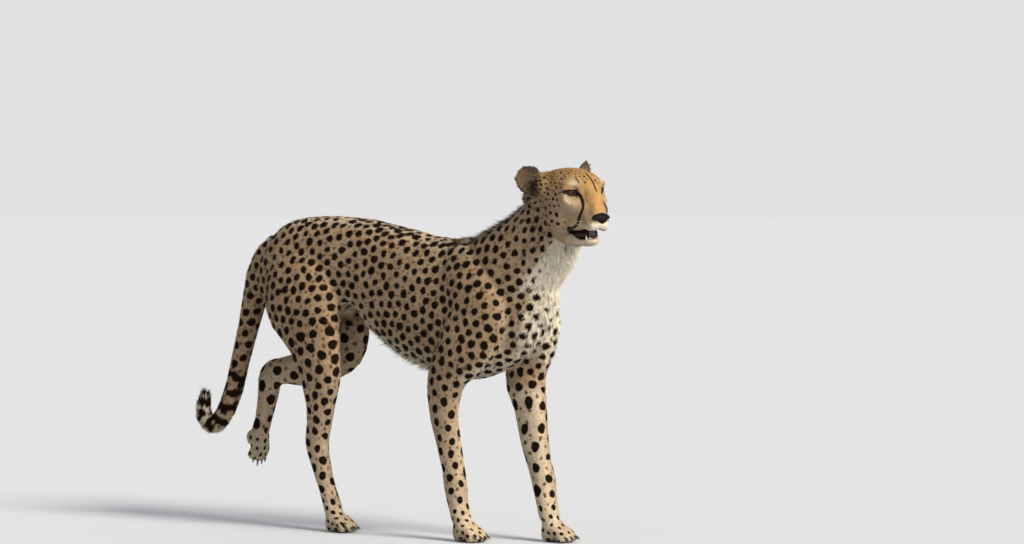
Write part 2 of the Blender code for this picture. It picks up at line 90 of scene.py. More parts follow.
# %% [markdown]
# ## The skin, as one form
# A real skin has no seams, so every piece of flesh is grown by half a millimetre until the pieces
# overlap, and a voxel remesh fuses them. Boolean unions would keep every old facet. The eyeballs are
# fused in too, so that the sockets close and the lids can be shaped over them. The ears are swollen a
# little first, because a remesh loses rims that are thinner than its grain, and are thinned later.

# %% fuse the flesh
EYES = ("eye_left", "eye_right")
FLESH = sorted(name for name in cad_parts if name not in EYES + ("nose",))
OVERLAP = 0.0005
EAR_SWELL = 0.0022
SKIN_GRAIN = 0.0046
ONE_CORNER = 1e-5  # corners nearer than this are one


def show(name, data):
    """A new object in the scene."""
    obj = bpy.data.objects.new(name, data)
    bpy.context.scene.collection.objects.link(obj)
    return obj


def mesh_of(name, bm):
    """A finished bmesh as a mesh."""
    mesh = bpy.data.meshes.new(name)
    bm.to_mesh(mesh)
    bm.free()
    return mesh


def add_object(name, mesh):
    """A mesh as an object of the scene, riding on the body."""
    obj = show(name, mesh)
    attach(obj, "root")
    return obj


fused = bmesh.new()
for name in FLESH + list(EYES):
    piece = bmesh.new()
    piece.from_mesh(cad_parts[name].data)
    bmesh.ops.remove_doubles(piece, verts=piece.verts, dist=ONE_CORNER)
    piece.normal_update()
    swell = OVERLAP + (EAR_SWELL if name.startswith("ear") else 0)
    for vert in piece.verts:
        vert.co += vert.normal * swell
    mesh = mesh_of("piece", piece)
    fused.from_mesh(mesh)
    bpy.data.meshes.remove(mesh)
skin = add_object("skin", mesh_of("skin", fused))
remesh = skin.modifiers.new("remesh", "REMESH")
remesh.mode, remesh.voxel_size = "VOXEL", SKIN_GRAIN
whole = skin.evaluated_get(bpy.context.evaluated_depsgraph_get())
skin.data = bpy.data.meshes.new_from_object(whole)
skin.modifiers.clear()
print("fused skin:", len(skin.data.vertices), "points")

# %% keep the largest bit


def keep_largest(obj):
    """Drops every loose bit but the largest."""
    bm = bmesh.new()
    bm.from_mesh(obj.data)
    unseen, islands = set(bm.verts), []
    while unseen:
        edge = [unseen.pop()]
        island = list(edge)
        while edge:
            vert = edge.pop()
            fresh = [e.other_vert(vert) for e in vert.link_edges if e.other_vert(vert) in unseen]
            unseen.difference_update(fresh)
            edge += fresh
            island += fresh
        islands.append(island)
    islands.sort(key=len)
    loose = [vert for island in islands[:-1] for vert in island]
    bmesh.ops.delete(bm, geom=loose, context="VERTS")
    bm.to_mesh(obj.data)
    bm.free()
    return len(islands) - 1


print("loose bits dropped:", keep_largest(skin))

# %% [markdown]
# The face needs a finer skin than the flank, so its edges are subdivided: once over the head, once
# more round the eyes, nose and mouth, and once more still round the eyes.

# %% refine the face
FACE_STARTS, MUZZLE_STARTS = -0.155, -0.045  # along the head


def refine(obj, chosen):
    bm = bmesh.new()
    bm.from_mesh(obj.data)
    points = to_head(np.array([vert.co for vert in bm.verts]))
    inside = chosen(points)
    edges = [e for e in bm.edges if inside[e.verts[0].index] and inside[e.verts[1].index]]
    bmesh.ops.subdivide_edges(bm, edges=edges, cuts=1, use_grid_fill=True)
    bm.to_mesh(obj.data)
    bm.free()


def on_head(p):
    return (p[:, 0] > FACE_STARTS) & (p[:, 2] > -0.150) & (np.abs(p[:, 1]) < 0.14)


def on_face(p):
    return (p[:, 0] > MUZZLE_STARTS) & (p[:, 2] > -0.135) & (p[:, 2] < 0.030)


def round_eyes(p):
    socket = np.array((EYES_LIE.x, EYES_APART / 2, EYES_LIE.z))
    return np.linalg.norm(p * (1, 0, 1) + np.abs(p * (0, 1, 0)) - socket, axis=1) < EYE_RADIUS * 1.45


for region in (on_head, on_face, round_eyes):
    refine(skin, region)
print("refined skin:", len(skin.data.vertices), "points")

# %% [markdown]
# ## Smoothing
# The facets are smoothed away by moving every point towards its neighbours and then a little back,
# in turn. Plain smoothing would thin the tail and the ears. The same helper smooths any value that
# is kept on the skin's points.

# %% smoothing helpers


def read(items, value, width, kind=np.float32):
    """One value of every item, as rows of `width` numbers."""
    flat = np.empty(len(items) * width, kind)
    items.foreach_get(value, flat)
    return flat.reshape(-1, width)


def normals_of(mesh):
    return read(mesh.vertex_normals, "vector", 3).astype(float)


def place_points(mesh, points):
    mesh.vertices.foreach_set("co", points.astype(np.float32).ravel())
    mesh.update()


EDGES = read(skin.data.edges, "vertices", 2, np.int32)
COUNT = len(skin.data.vertices)
NEIGHBOURS = np.maximum(np.bincount(EDGES.ravel(), minlength=COUNT), 1)


def neighbour_mean(values):
    columns = values.reshape(COUNT, -1)
    out = np.empty_like(columns)
    for i in range(columns.shape[1]):
        out[:, i] = np.bincount(EDGES[:, 0], columns[EDGES[:, 1], i], COUNT)
        out[:, i] += np.bincount(EDGES[:, 1], columns[EDGES[:, 0], i], COUNT)
    return (out / NEIGHBOURS[:, None]).reshape(values.shape)


def soften(values, passes, share=0.5):
    for _ in range(passes):
        values = values + (neighbour_mean(values) - values) * share
    return values


def even_out(points, passes, forth=0.55, back=-0.57):
    for _ in range(passes):
        points = soften(soften(points, 1, forth), 1, back)
    return points


points = even_out(read(skin.data.vertices, "co", 3).astype(float), 24)
place_points(skin.data, points)
print("smoothed skin")

# %% [markdown]
# ## Shares
# Most places on the animal have no sharp border, so a place is given as a share from 0 to 1 at each
# point of the skin. A share rises along a ramp, or falls away around a middle, and shares are
# multiplied where both have to hold.

# %% shares and search trees


def ramp(value, start, end):
    """0 before `start`, 1 after `end`, with a soft bend at both."""
    t = np.clip((value - start) / (end - start), 0, 1)
    return t * t * (3 - 2 * t)


def bump_at(points, middle, radii):
    """1 at `middle`, falling to 0 about two radii away."""
    q = ((points - np.array(middle)) / np.array(radii)) ** 2
    return np.exp(-q.sum(axis=1))


def largest(*values):
    return np.maximum.reduce(values)


def smallest(*values):
    return np.minimum.reduce(values)


def unit(vectors, least=0.0):
    """Vectors brought to length one."""
    return vectors / (np.linalg.norm(vectors, axis=-1, keepdims=True) + least)


def tree_of(places):
    """Some places, ordered so that the nearest of them is found fast."""
    tree = kdtree.KDTree(len(places))
    for i, place in enumerate(places):
        tree.insert(place, i)
    tree.balance()
    return tree


def face_now():
    """The skin's points in the head's frame, with how far ahead and how far up they lie."""
    face = to_head(points)
    return face, face[:, 0], face[:, 2]


TINY = 1e-9  # keeps a vector of no length from being divided by zero
print("a quarter of the way up a ramp the share is", round(float(ramp(0.25, 0, 1)), 3))

# %% [markdown]
# ## Which part each point belongs to
# The coat differs from part to part, so each point of the skin takes the name of the solid it lies
# nearest to.

# %% name the skin's points
solids = [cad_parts[name].data.vertices for name in FLESH]
owner = np.repeat(np.arange(len(FLESH)), [len(verts) for verts in solids])
tree = tree_of([vert.co for verts in solids for vert in verts])
PART = owner[[tree.find(p)[1] for p in points]]


def on(*names):
    """1 on the parts named, 0 elsewhere."""
    return np.isin(PART, [FLESH.index(n) for n in names]).astype(float)


EARS = ("ear_left", "ear_right")
TAIL = ("tail_base", "tail_middle", "tail_tip")
HEAD_SHARE = on("head", "lower_jaw", *EARS)
EAR_SHARE = on(*EARS)
PAW_NAMES = [n for n in FLESH if "paw" in n]
LEG_NAMES = [n for n in FLESH if "leg" in n or "foot" in n or "paw" in n]
TAIL_SHARE = on(*TAIL)
print({name: int((PART == i).sum()) for i, name in enumerate(FLESH)})

# %% [markdown]
# ## How the hair lies
# Hair runs back from the nose over head and trunk, out along the tail, and down each leg. Centre
# lines through the animal say where that is: every point follows the lines near it, bent into its
# own surface. Combing each region by hand would leave a jump between regions.

# %% centre lines
CENTRE_LINES = {
    "back": (
        (0.50, -0.03, 0.81), (0.40, 0, 0.74), (0.28, 0, 0.66), (0.10, 0, 0.62), (-0.20, 0, 0.65),
        (-0.40, 0, 0.69),
    ),
    "breast": (
        (0.52, -0.04, 0.78), (0.46, 0, 0.68), (0.43, 0, 0.57), (0.36, 0, 0.45), (0.20, 0, 0.42),
        (0.0, 0, 0.48),
    ),
    "tail": (
        (-0.385, 0, 0.705), (-0.447, 0, 0.635), (-0.475, 0, 0.545), (-0.516, 0, 0.410),
        (-0.546, 0, 0.318), (-0.565, 0, 0.282), (-0.590, 0, 0.254), (-0.616, 0, 0.252),
        (-0.634, 0, 0.275), (-0.630, 0, 0.335),
    ),
    "foreleg_right": (
        (0.26, -0.06, 0.66), (0.27, -0.07, 0.56), (0.205, -0.078, 0.42), (0.177, -0.068, 0.305),
        (0.196, -0.048, 0.14), (0.212, -0.044, 0.06), (0.27, -0.044, 0.01),
    ),
    "foreleg_left": (
        (0.31, 0.06, 0.65), (0.34, 0.07, 0.555), (0.313, 0.085, 0.42), (0.326, 0.083, 0.315),
        (0.368, 0.077, 0.145), (0.388, 0.076, 0.056), (0.45, 0.078, 0.01),
    ),
    "hindleg_right": (
        (-0.28, -0.05, 0.68), (-0.262, -0.058, 0.57), (-0.219, -0.066, 0.45), (-0.209, -0.062, 0.385),
        (-0.238, -0.032, 0.215), (-0.213, -0.022, 0.095), (-0.19, -0.02, 0.05), (-0.14, -0.02, 0.01),
    ),
    "hindleg_left": (
        (-0.29, 0.05, 0.68), (-0.27, 0.058, 0.57), (-0.243, 0.064, 0.50), (-0.29, 0.069, 0.425),
        (-0.425, 0.066, 0.39), (-0.470, 0.065, 0.36), (-0.505, 0.062, 0.222), (-0.52, 0.06, 0.14),
    ),
}
REACH = {"back": 0.11, "breast": 0.09, "tail": 0.035}
LEG_REACH = 0.055
print("metres of centre line:", {
    name: round(sum(math.dist(a, b) for a, b in zip(line, line[1:])), 2) for name, line in CENTRE_LINES.items()
})

# %% distance from a line


def nearest_on_line(points, line):
    """Distance to a bent line, the direction of the nearest piece and how far along the line it is."""
    best = np.full(len(points), 1e9)
    heading = np.zeros((len(points), 3))
    along = np.zeros(len(points))
    walked = 0.0
    for a, b in zip(line, line[1:]):
        a, b = np.array(a), np.array(b)
        length = np.linalg.norm(b - a)
        share = np.clip(((points - a) @ (b - a)) / length**2, 0, 1)
        distance = np.linalg.norm(points - a - share[:, None] * (b - a), axis=1)
        near = distance < best
        best[near] = distance[near]
        heading[near] = (b - a) / length
        along[near] = walked + share[near] * length
        walked += length
    return best, heading, along


# %% comb the skin
FALL = 0.12  # hair hangs a little
NOSE_TIP = np.array((0.085, 0, -0.060))
BEFORE_NOSE = 0.10  # the hair of the head points away from a place this far before the nose
TAIL_ON = ramp(TAIL_SHARE, 0, 1)
lie = np.zeros((COUNT, 3))
for name, line in CENTRE_LINES.items():
    distance, heading, along = nearest_on_line(points, line)
    weight = 1 / (1 + (distance / REACH.get(name, LEG_REACH)) ** 6)
    weight *= TAIL_ON if name == "tail" else 1 - 0.98 * TAIL_ON
    lie += heading * weight[:, None]
    if name == "tail":
        TAIL_ALONG = along
lie[:, 2] -= FALL
FACE, HX, HZ = face_now()
away = FACE - NOSE_TIP
away[:, 0] -= BEFORE_NOSE
head_weight = soften(HEAD_SHARE, 12)[:, None]
lie = unit(lie, TINY) * (1 - head_weight) + (unit(away) @ TURN.T) * head_weight
normals = normals_of(skin.data)


def into_surface(vectors):
    return unit(vectors - normals * (vectors * normals).sum(axis=1)[:, None], TINY)


for _ in range(6):
    lie = into_surface(soften(lie, 5))
print("combed", COUNT, "points")

# %% [markdown]
# ## How long the hair is
# A cheetah's coat is short. It is shortest on the face and feet, longer on the body, and longest in
# the ridge over the nape, on the breast, under the belly and at the end of the tail. Each part has
# a length, how far it stands off the skin, and how far apart and how wide its tufts are.

# %% the coat's measures
# part: (length in mm, lift in degrees, spacing in mm, width in mm)
COAT = {
    "trunk": (13, 15, 2.25, 2.2),
    "neck": (14, 16, 2.2, 2.1),
    "head": (6.5, 15, 1.6, 1.4),
    "lower_jaw": (6.5, 18, 1.5, 1.3),
    "ear": (4.8, 9, 1.30, 1.2),
    "tail_base": (13, 17, 2.1, 2.0),
    "tail_middle": (13, 18, 2.1, 2.0),
    "tail_tip": (17, 22, 2.0, 2.0),
    "foreleg": (9, 13, 1.95, 1.8),
    "hindleg": (10, 13, 2.05, 1.9),
    "hindfoot": (8, 13, 1.85, 1.7),
    "forepaw": (6.5, 15, 1.7, 1.5),
    "hindpaw": (6.5, 15, 1.7, 1.5),
}


def measure(column):
    values = np.zeros(COUNT)
    for number, name in enumerate(FLESH):
        row = COAT.get(name) or COAT[name.split("_")[0]]
        values[PART == number] = row[column]
    return soften(values, 26)


LENGTH, LIFT, SPACING, WIDTH = (measure(i) for i in range(4))
print("hair before the longer places", round(LENGTH.min(), 1), "to", round(LENGTH.max(), 1), "mm")
X, Y, Z = points.T
NX, NY, NZ = normals.T
BODY = 1 - soften(HEAD_SHARE, 6)

# %% longer places
HEAD_SOFT, LEGS = soften(HEAD_SHARE, 20), soften(on(*LEG_NAMES), 10)
TRUNK, NECK_AND_TRUNK = soften(on("trunk"), 6), soften(on("trunk", "neck"), 14)
MUZZLE = ramp(HX, -0.045, 0.010) * HEAD_SHARE
NAPE_FACES = np.array((-0.57, 0.12, 0.81))
NAPE = ramp(normals @ NAPE_FACES, 0.50, 0.86) * ramp(X, 0.12, 0.26) * ramp(HX, -0.085, -0.125)
NAPE = NAPE * (1 - soften(EAR_SHARE, 5))
BELLY = ramp(NZ, -0.45, -0.85) * TRUNK * ramp(X, -0.36, -0.25) * ramp(X, 0.25, 0.10)
BREAST = ramp(NX - NZ * 0.5, 0.25, 0.8) * NECK_AND_TRUNK * ramp(X, 0.34, 0.42)
BREAST = BREAST * ramp(HZ, -0.09, -0.14)
THROAT = ramp(NX * 0.75 - NZ * 0.65, 0.25, 0.85) * ramp(HX, 0.0, -0.07) * ramp(X, 0.44, 0.50) * (1 - LEGS)
THROAT = soften(THROAT * ramp(HZ, -0.060, -0.110), 16)
RUFF = ramp(HX, -0.05, -0.10) * ramp(HZ, 0.0, -0.06) * ramp(HZ, -0.19, -0.11) * HEAD_SOFT
BRUSH = ramp(TAIL_ALONG, 0.56, 0.64) * TAIL_SHARE
LONGER = (  # (where, mm longer, degrees higher)
    (NAPE, 15, 16), (BELLY, 22, 20), (BREAST, 8, 4), (THROAT, 10, 6), (RUFF, 6, 6), (BRUSH, 5, 6),
    (MUZZLE, -2.5, -1),
)
for where, longer, higher in LONGER:
    LENGTH, LIFT = LENGTH + longer * where, LIFT + higher * where
SPACING, WIDTH = SPACING - 0.35 * MUZZLE, WIDTH - 0.35 * MUZZLE
LENGTH, LIFT = soften(LENGTH, 14), soften(LIFT, 14)
DEPTH = (LENGTH * np.sin(np.radians(LIFT)) * 0.92 + 0.2) * MM
print("hair is", round(LENGTH.min(), 1), "to", round(LENGTH.max(), 1), "mm long")
print("the skin lies up to", round(DEPTH.max() * 1000, 1), "mm in")

# %% sink the skin, and trim ears and tail end
EAR_THIN_PASSES = 14
points = points - normals * (DEPTH + OVERLAP + EAR_SWELL * EAR_SHARE)[:, None]
points += (even_out(points, EAR_THIN_PASSES) - points) * EAR_SHARE[:, None]
ear_faces = (normals @ TURN)[:, 0]  # above 0 where the ear faces forward
EAR_IN = EAR_SHARE * ramp(ear_faces, 0.0, 0.4)
EAR_HAIR = soften(EAR_SHARE * ramp(ear_faces, 0.45, 0.75), 3)
EAR_RIM = soften(EAR_SHARE * ramp(np.abs(ear_faces), 0.75, 0.40), 2)
BESIDE_CROWN = bump_at(np.abs(FACE), (0.080, 0.046, 0.044), (0.024, 0.022, 0.018))
BESIDE_CROWN = BESIDE_CROWN * HEAD_SOFT * (1 - EAR_SHARE)
LONGER_STILL = ((BRUSH, 8, 9), (EAR_HAIR, 3.0, 6), (EAR_RIM, 2.5, 10), (BESIDE_CROWN, 7, 18))
for where, longer, higher in LONGER_STILL:
    LENGTH, LIFT = LENGTH + longer * where, LIFT + higher * where
print("with ear tufts and tail brush up to", round(LENGTH.max(), 1), "mm")

# %% [markdown]
# ## The face
# The skin of the face follows bone closely. Soft pushes and hollows, each given its place in the
# head's own frame, shape brow, cheek, whisker pads, nostrils and lips. They are made on both sides.

# %% shape the face
# (middle, radii, push in mm)
FACE_FORMS = (
    ((-0.002, 0.034, 0.015), (0.016, 0.014, 0.008), 2.2),  # brow
    ((-0.002, 0.054, 0.008), (0.018, 0.014, 0.020), 3.0),  # side of the brow
    ((0.020, 0.023, -0.006), (0.011, 0.007, 0.015), -4.5),  # inner corner of the eye
    ((0.036, 0.0, -0.022), (0.030, 0.012, 0.016), 1.0),  # bridge
    ((0.008, 0.040, -0.024), (0.016, 0.012, 0.009), 1.5),  # under the eye
    ((0.036, 0.022, -0.078), (0.018, 0.012, 0.012), 3.0),  # whisker pad
    ((0.040, 0.022, -0.052), (0.016, 0.008, 0.010), -2.0),  # side of the nose
)


def on_both_sides(points, forms):
    """Each form's share on one side and then the other, with its push. One on the middle counts half."""
    for middle, radii, push in forms:
        for side in (LEFT, RIGHT):
            share = bump_at(points, (middle[0], middle[1] * side, middle[2]), radii)
            yield share, push, 0.5 if middle[1] == 0 else 1


FACE, HX, HZ = face_now()
for share, push, half in on_both_sides(FACE, FACE_FORMS):
    share = share * HEAD_SHARE * half
    points = points + normals * (share * push * MM)[:, None]
print(len(FACE_FORMS), "forms pushed on each side")

# %% the mouth
LIP_HANGS = {LEFT: 4.0, RIGHT: 1.5}  # mm; the head leans, so the far lip hangs lower
LIP_AT, LIP_REACH, LIP_OVER = (0.046, 0.018, -0.088), (0.013, 0.012, 0.009), -0.100
MOUTH_BACK, LIP_UP, LIP_LOW = -0.022, -0.0915, -0.1105
JAW_LOW, MOST_RISE = -0.137, 0.016
FACE, HX, HZ = face_now()
GAPE = largest(  # mm outside the open mouth, less than 0 in it
    (HZ - LIP_UP) * 1000,
    (LIP_LOW - HZ) * 1000,
    (MOUTH_BACK - HX) * 1000,
)
corner = ramp(HX, MOUTH_BACK + 0.026, MOUTH_BACK + 0.002) * ramp(HX, MOUTH_BACK - 0.016, MOUTH_BACK)
rise = np.where(HZ > LIP_LOW, (LIP_UP - HZ) * 0.85, MOST_RISE * ramp(HZ, JAW_LOW, LIP_LOW))
FACE[:, 2] += corner * HEAD_SHARE * np.clip(rise, 0, MOST_RISE)  # the lower lip climbs to the corner
for side, hang in LIP_HANGS.items():
    share = bump_at(FACE, (LIP_AT[0], LIP_AT[1] * side, LIP_AT[2]), LIP_REACH) * (FACE[:, 2] > LIP_OVER)
    FACE[:, 2] -= share * HEAD_SHARE * hang * MM
points = from_head(FACE)
print("the mouth opens", round((LIP_UP - LIP_LOW) * 1000, 1), "mm")

# %% [markdown]
# Over each eyeball the skin is raised into lids, with an almond opening between them. Inside the
# opening the skin sinks behind the eyeball, which is a piece of its own.

# %% the lids
LID = 0.0014
SINKS = 0.003  # how far the skin lies behind the ball's surface inside the opening
OPENING_FACES = 28  # degrees outward from straight ahead
OPENING_WIDE, OPENING_HIGH = 54, 18  # degrees to each side of its middle
OUTER_CORNER_UP = 5  # degrees


def eye_middle(side):
    return np.array((EYES_LIE.x, EYES_APART / 2 * side, EYES_LIE.z))


def eye_angles(points, side):
    """Each point's degrees outward and upward of the gaze, and its distance and step from the eye's middle."""
    local = points - eye_middle(side)
    turn = math.radians(OPENING_FACES * side)
    ahead = local[:, 0] * math.cos(turn) + local[:, 1] * math.sin(turn)
    outward = (-local[:, 0] * math.sin(turn) + local[:, 1] * math.cos(turn)) * side
    upward = np.degrees(np.arctan2(local[:, 2], np.hypot(ahead, outward)))
    return np.degrees(np.arctan2(outward, ahead)), upward, np.linalg.norm(local, axis=1), local


def lid_edges(outward):
    """Heights of the upper and lower lid edge, in degrees, for a place across the eye."""
    t = np.clip(outward / OPENING_WIDE, -1, 1)
    slant = OUTER_CORNER_UP * t
    upper = slant + OPENING_HIGH * (1 - np.abs(t) ** 2.2) * 0.80
    lower = slant - OPENING_HIGH * (1 - np.abs(t) ** 1.9)
    return upper, lower


LID_GAP = np.full(COUNT, 99.0)  # degrees outside the opening, less than 0 inside it
FACE = to_head(points)
for side in (LEFT, RIGHT):
    outward, upward, radius, local = eye_angles(FACE, side)
    upper, lower = lid_edges(outward)
    beyond = np.maximum(np.maximum(upward - upper, lower - upward), np.abs(outward) - OPENING_WIDE)
    near = (radius < EYE_RADIUS * 1.5) & (np.abs(outward) < 100) & (HEAD_SHARE > 0)
    LID_GAP[near] = np.minimum(LID_GAP[near], beyond[near])
    over_ball = EYE_RADIUS - SINKS + (LID + SINKS) * ramp(beyond, -3.5, 0.5)
    wanted = np.where(beyond < 0.5, over_ball, np.maximum(radius, over_ball))
    wanted = np.where(near & (radius < EYE_RADIUS + 0.010), wanted, radius)
    moved = local * (wanted / radius)[:, None] + eye_middle(side)
    FACE = np.where(near[:, None], moved, FACE)
points = from_head(FACE)
place_points(skin.data, points)
normals = normals_of(skin.data)
FACE, HX, HZ = face_now()
NX, NY, NZ = normals.T
print("lids shaped; the openings hold", int((LID_GAP < 0).sum()), "points")

# %% [markdown]
# ## Spots
# The black spots are solid and never touch. They are set down one after another in places drawn by
# chance, and a place is refused when it is too near one already taken, so they stay evenly spread
# without lining up. Their size and spacing change over the body. For each point of the skin the
# distance to the edge of the nearest spot is kept, less than zero inside it: such a value stays
# sharp however coarse the skin is.

# %% how large and how far apart
chance = np.random.default_rng(11)
THIGH = soften(on("hindleg_left", "hindleg_right"), 12)
SHOULDER = soften(on("foreleg_left", "foreleg_right"), 12)
NECK = soften(on("neck"), 14)
CROWN = ramp(HZ, -0.02, 0.03) * HEAD_SHARE
LOW = ramp(Z, 0.46, 0.34) * LEGS
OUTER = np.sign(Y) * NY  # above 0 on the outside of a leg
BACK = ramp(NZ, 0.35, 0.85) * BODY
FEET = soften(on(*PAW_NAMES), 6)
# (where, spacing in mm, radius in mm, how much longer than wide); a later row goes over an earlier one
SPOTS = (
    (np.ones(COUNT), 24.0, 9.6, 1.0),
    (THIGH, 29.0, 12.2, 1.0),
    (THIGH * ramp(Z, 0.54, 0.44), 32, 13.0, 1.05),
    (SHOULDER, 21.5, 8.4, 1.08),
    (BACK, 21.5, 10.2, 1.1),
    (NECK, 20.5, 7.7, 1.3),
    (LOW, 28, 9.3, 1.1),
    (LOW * ramp(X, 0.0, -0.05), 27, 9.8, 1.1),
    (LEGS * ramp(OUTER, -0.2, -0.7), 42, 12.5, 1.2),  # inside of the legs
    (FEET, 17, 5.0, 1.2),
    (TAIL_SHARE, 26, 9.6, 1.1),
    (HEAD_SHARE, 17, 5.0, 1.2),
    (HEAD_SHARE * ramp(HZ, -0.050, -0.020), 13, 3.5, 1.25),
    (CROWN, 8.8, 3.0, 1.3),
)
spot_apart, spot_radius, spot_long = (np.zeros(COUNT) for _ in range(3))
for where, apart, radius, long in SPOTS:
    spot_apart += (apart - spot_apart) * where
    spot_radius += (radius - spot_radius) * where
    spot_long += (long - spot_long) * where
spot_apart, spot_radius = soften(spot_apart, 8), soften(spot_radius, 8)
print("spots", round(spot_radius.min() * 2, 1), "to", round(spot_radius.max() * 2, 1), "mm across")

# %% places drawn by chance
skin.data.calc_loop_triangles()
TRIANGLES = read(skin.data.loop_triangles, "vertices", 3, np.int32)
CORNERS = read(skin.data.loop_triangles, "loops", 3, np.int32)
AT_ONCE = 4000  # places compared at a time
EDGE_A = points[TRIANGLES[:, 1]] - points[TRIANGLES[:, 0]]
EDGE_B = points[TRIANGLES[:, 2]] - points[TRIANGLES[:, 0]]
AREAS = np.linalg.norm(np.cross(EDGE_A, EDGE_B), axis=1) / 2
print("skin area", round(AREAS.sum(), 3), "square metres")


def scatter(density):
    """Random places on the skin: triangle numbers and the shares of its three corners."""
    wanted = AREAS * density
    how_many = np.floor(wanted + chance.random(len(wanted))).astype(int)
    triangle = np.repeat(np.arange(len(AREAS)), how_many)
    a, b = chance.random((2, len(triangle)))
    over = a + b > 1
    a[over], b[over] = 1 - a[over], 1 - b[over]
    return triangle, np.stack([1 - a - b, a, b], axis=1)


def carried(values, triangle, shares):
    """A value kept on the skin's points, at places inside its triangles."""
    corners = values[TRIANGLES[triangle]]
    return np.einsum("nc...,nc->n...", corners, shares)


def spread_out(triangle, shares, apart, kept_at=None, kept_apart=None):
    """Numbers of the places kept, none nearer to another than `apart` there."""
    at, facing = carried(points, triangle, shares), carried(normals, triangle, shares)
    order = chance.permutation(len(at))
    if kept_at is not None:
        clear = np.ones(len(at), bool)
        for start in range(0, len(at), AT_ONCE):
            rows = slice(start, start + AT_ONCE)
            gaps = np.linalg.norm(at[rows, None] - kept_at[None], axis=2)
            clear[rows] = (gaps > kept_apart[None]).all(axis=1)
        order = order[clear[order]]
    kept, place, face = [], np.empty((len(at), 3)), np.empty((len(at), 3))
    for i in order:
        n = len(kept)
        gap = ((place[:n] - at[i]) ** 2).sum(axis=1)
        if n and ((gap < apart[i] ** 2) & (face[:n] @ facing[i] > -0.2)).any():
            continue
        place[n], face[n] = at[i], facing[i]
        kept.append(i)
    return np.array(kept)


# %% spread the spots evenly
TRIED, TRIED_ON_HEAD = 30000, 90000  # places per square metre
DRAWN_ROOM, SETTLED_ROOM, SMALL_ROOM = 0.92, 0.62, 0.55  # shares of the spacing
SMALL_CLEAR = 0.0052  # a small spot's middle stays this far from a large spot's edge
SKIN_TREE = tree_of(points)


def nearest_points(at):
    return np.array([SKIN_TREE.find(p)[1] for p in at])


def neighbours(tree, at, count):
    """Numbers of the nearest few of a tree's places, for each place."""
    return np.array([[hit[1] for hit in tree.find_n(p, count)] for p in at])


def settle(at, rounds=16, stiffness=0.12):
    """Pushes places apart along the skin until they are even; also gives the skin's nearest points."""
    for _ in range(rounds):
        found = nearest_points(at)
        facing, apart = normals[found], spot_apart[found] * MM
        at = at - facing * ((at - points[found]) * facing).sum(axis=1)[:, None]
        near = neighbours(tree_of(at), at, 9)[:, 1:]
        step = at[:, None] - at[near]
        wanted = (apart[:, None] + apart[near]) * SETTLED_ROOM
        same_side = (facing[:, None] * facing[near]).sum(axis=2) > 0
        push = np.clip(wanted / (np.linalg.norm(step, axis=2) + 1e-6) - 1, 0, 1) * same_side
        at = at + (step * push[:, :, None]).sum(axis=1) * stiffness
    return at, found


triangle, shares = scatter(TRIED + TRIED_ON_HEAD * HEAD_SHARE[TRIANGLES[:, 0]])
kept = spread_out(triangle, shares, carried(spot_apart, triangle, shares) * MM * DRAWN_ROOM)
SPOT_AT, found = settle(carried(points, triangle[kept], shares[kept]))
more_varied = 1 + 1.4 * HEAD_SHARE[found]
SPOT_RADIUS = spot_radius[found] * (1 + chance.uniform(-0.16, 0.12, len(kept)) * more_varied) * MM
SPOT_LONG = spot_long[found] * chance.uniform(0.90, 1.18, len(kept))
SPOT_TURN = chance.normal(0, 0.30, len(kept))
SPOT_WAVES = chance.uniform(0, 2 * math.pi, (len(kept), 3))
print(len(kept), "spots")

# %% distance to the nearest spot
NO_MARK = 99.0  # mm
CLEAR_LINE, CLEAR_SLOPE = 2.4, 0.8  # mm; a clear line is left between two spots
WAVES = ((2, 0.06), (3, 0.05), (5, 0.03))  # (how many round the edge, how deep)


def spot_field(at, where, facing, heading, radius, long, turn, waves, near=5):
    """Distance in mm from each place to the edge of the nearest spot, less than 0 inside it."""
    found = neighbours(tree_of(where), at, near)
    best, second = np.full(len(at), NO_MARK), np.full(len(at), NO_MARK)
    across = np.cross(facing, heading)
    cos, sin = np.cos(turn)[:, None], np.sin(turn)[:, None]
    long_way, short_way = heading * cos + across * sin, across * cos - heading * sin
    for column in found.T:
        step = at - where[column]
        u, v = (step * long_way[column]).sum(axis=1), (step * short_way[column]).sum(axis=1)
        w = (step * facing[column]).sum(axis=1)
        stretch = np.sqrt(long[column])
        angle = np.arctan2(v, u)
        edge = 1
        for number, (count, deep) in enumerate(WAVES):
            edge = edge + deep * np.sin(count * angle + waves[column, number])
        size = np.sqrt((u / stretch) ** 2 + (v * stretch) ** 2 + (w * 0.7) ** 2)
        gap = (size - radius[column] * edge) * 1000
        best, second = np.minimum(best, gap), np.minimum(second, np.maximum(best, gap))
    return np.maximum(best, CLEAR_LINE - CLEAR_SLOPE * (second - best))


mark = spot_field(points, SPOT_AT, normals[found], lie[found], SPOT_RADIUS, SPOT_LONG, SPOT_TURN, SPOT_WAVES)
mark += 5.4 * BREAST * ramp(X, 0.40, 0.47) + 6.0 * THROAT + 3.0 * BELLY - 0.5 * BODY  # spots fade there
print("spots cover a share of", round(float((mark < 0).mean()), 2))

# %% small brown spots
triangle, shares = scatter(TRIED * (1 - HEAD_SHARE[TRIANGLES[:, 0]]))
apart = carried(spot_apart, triangle, shares) * MM * SMALL_ROOM
kept = spread_out(triangle, shares, apart, SPOT_AT, SPOT_RADIUS + SMALL_CLEAR)
triangle, shares = triangle[kept], shares[kept]
smudge = spot_field(
    points,
    *(carried(values, triangle, shares) for values in (points, normals, lie)),
    carried(spot_radius, triangle, shares) * chance.uniform(0.24, 0.46, len(kept)) * MM,
    chance.uniform(1.0, 1.9, len(kept)),
    chance.normal(0, 0.4, len(kept)),
    chance.uniform(0, 2 * math.pi, (len(kept), 3)),
)
print(len(kept), "small brown spots")

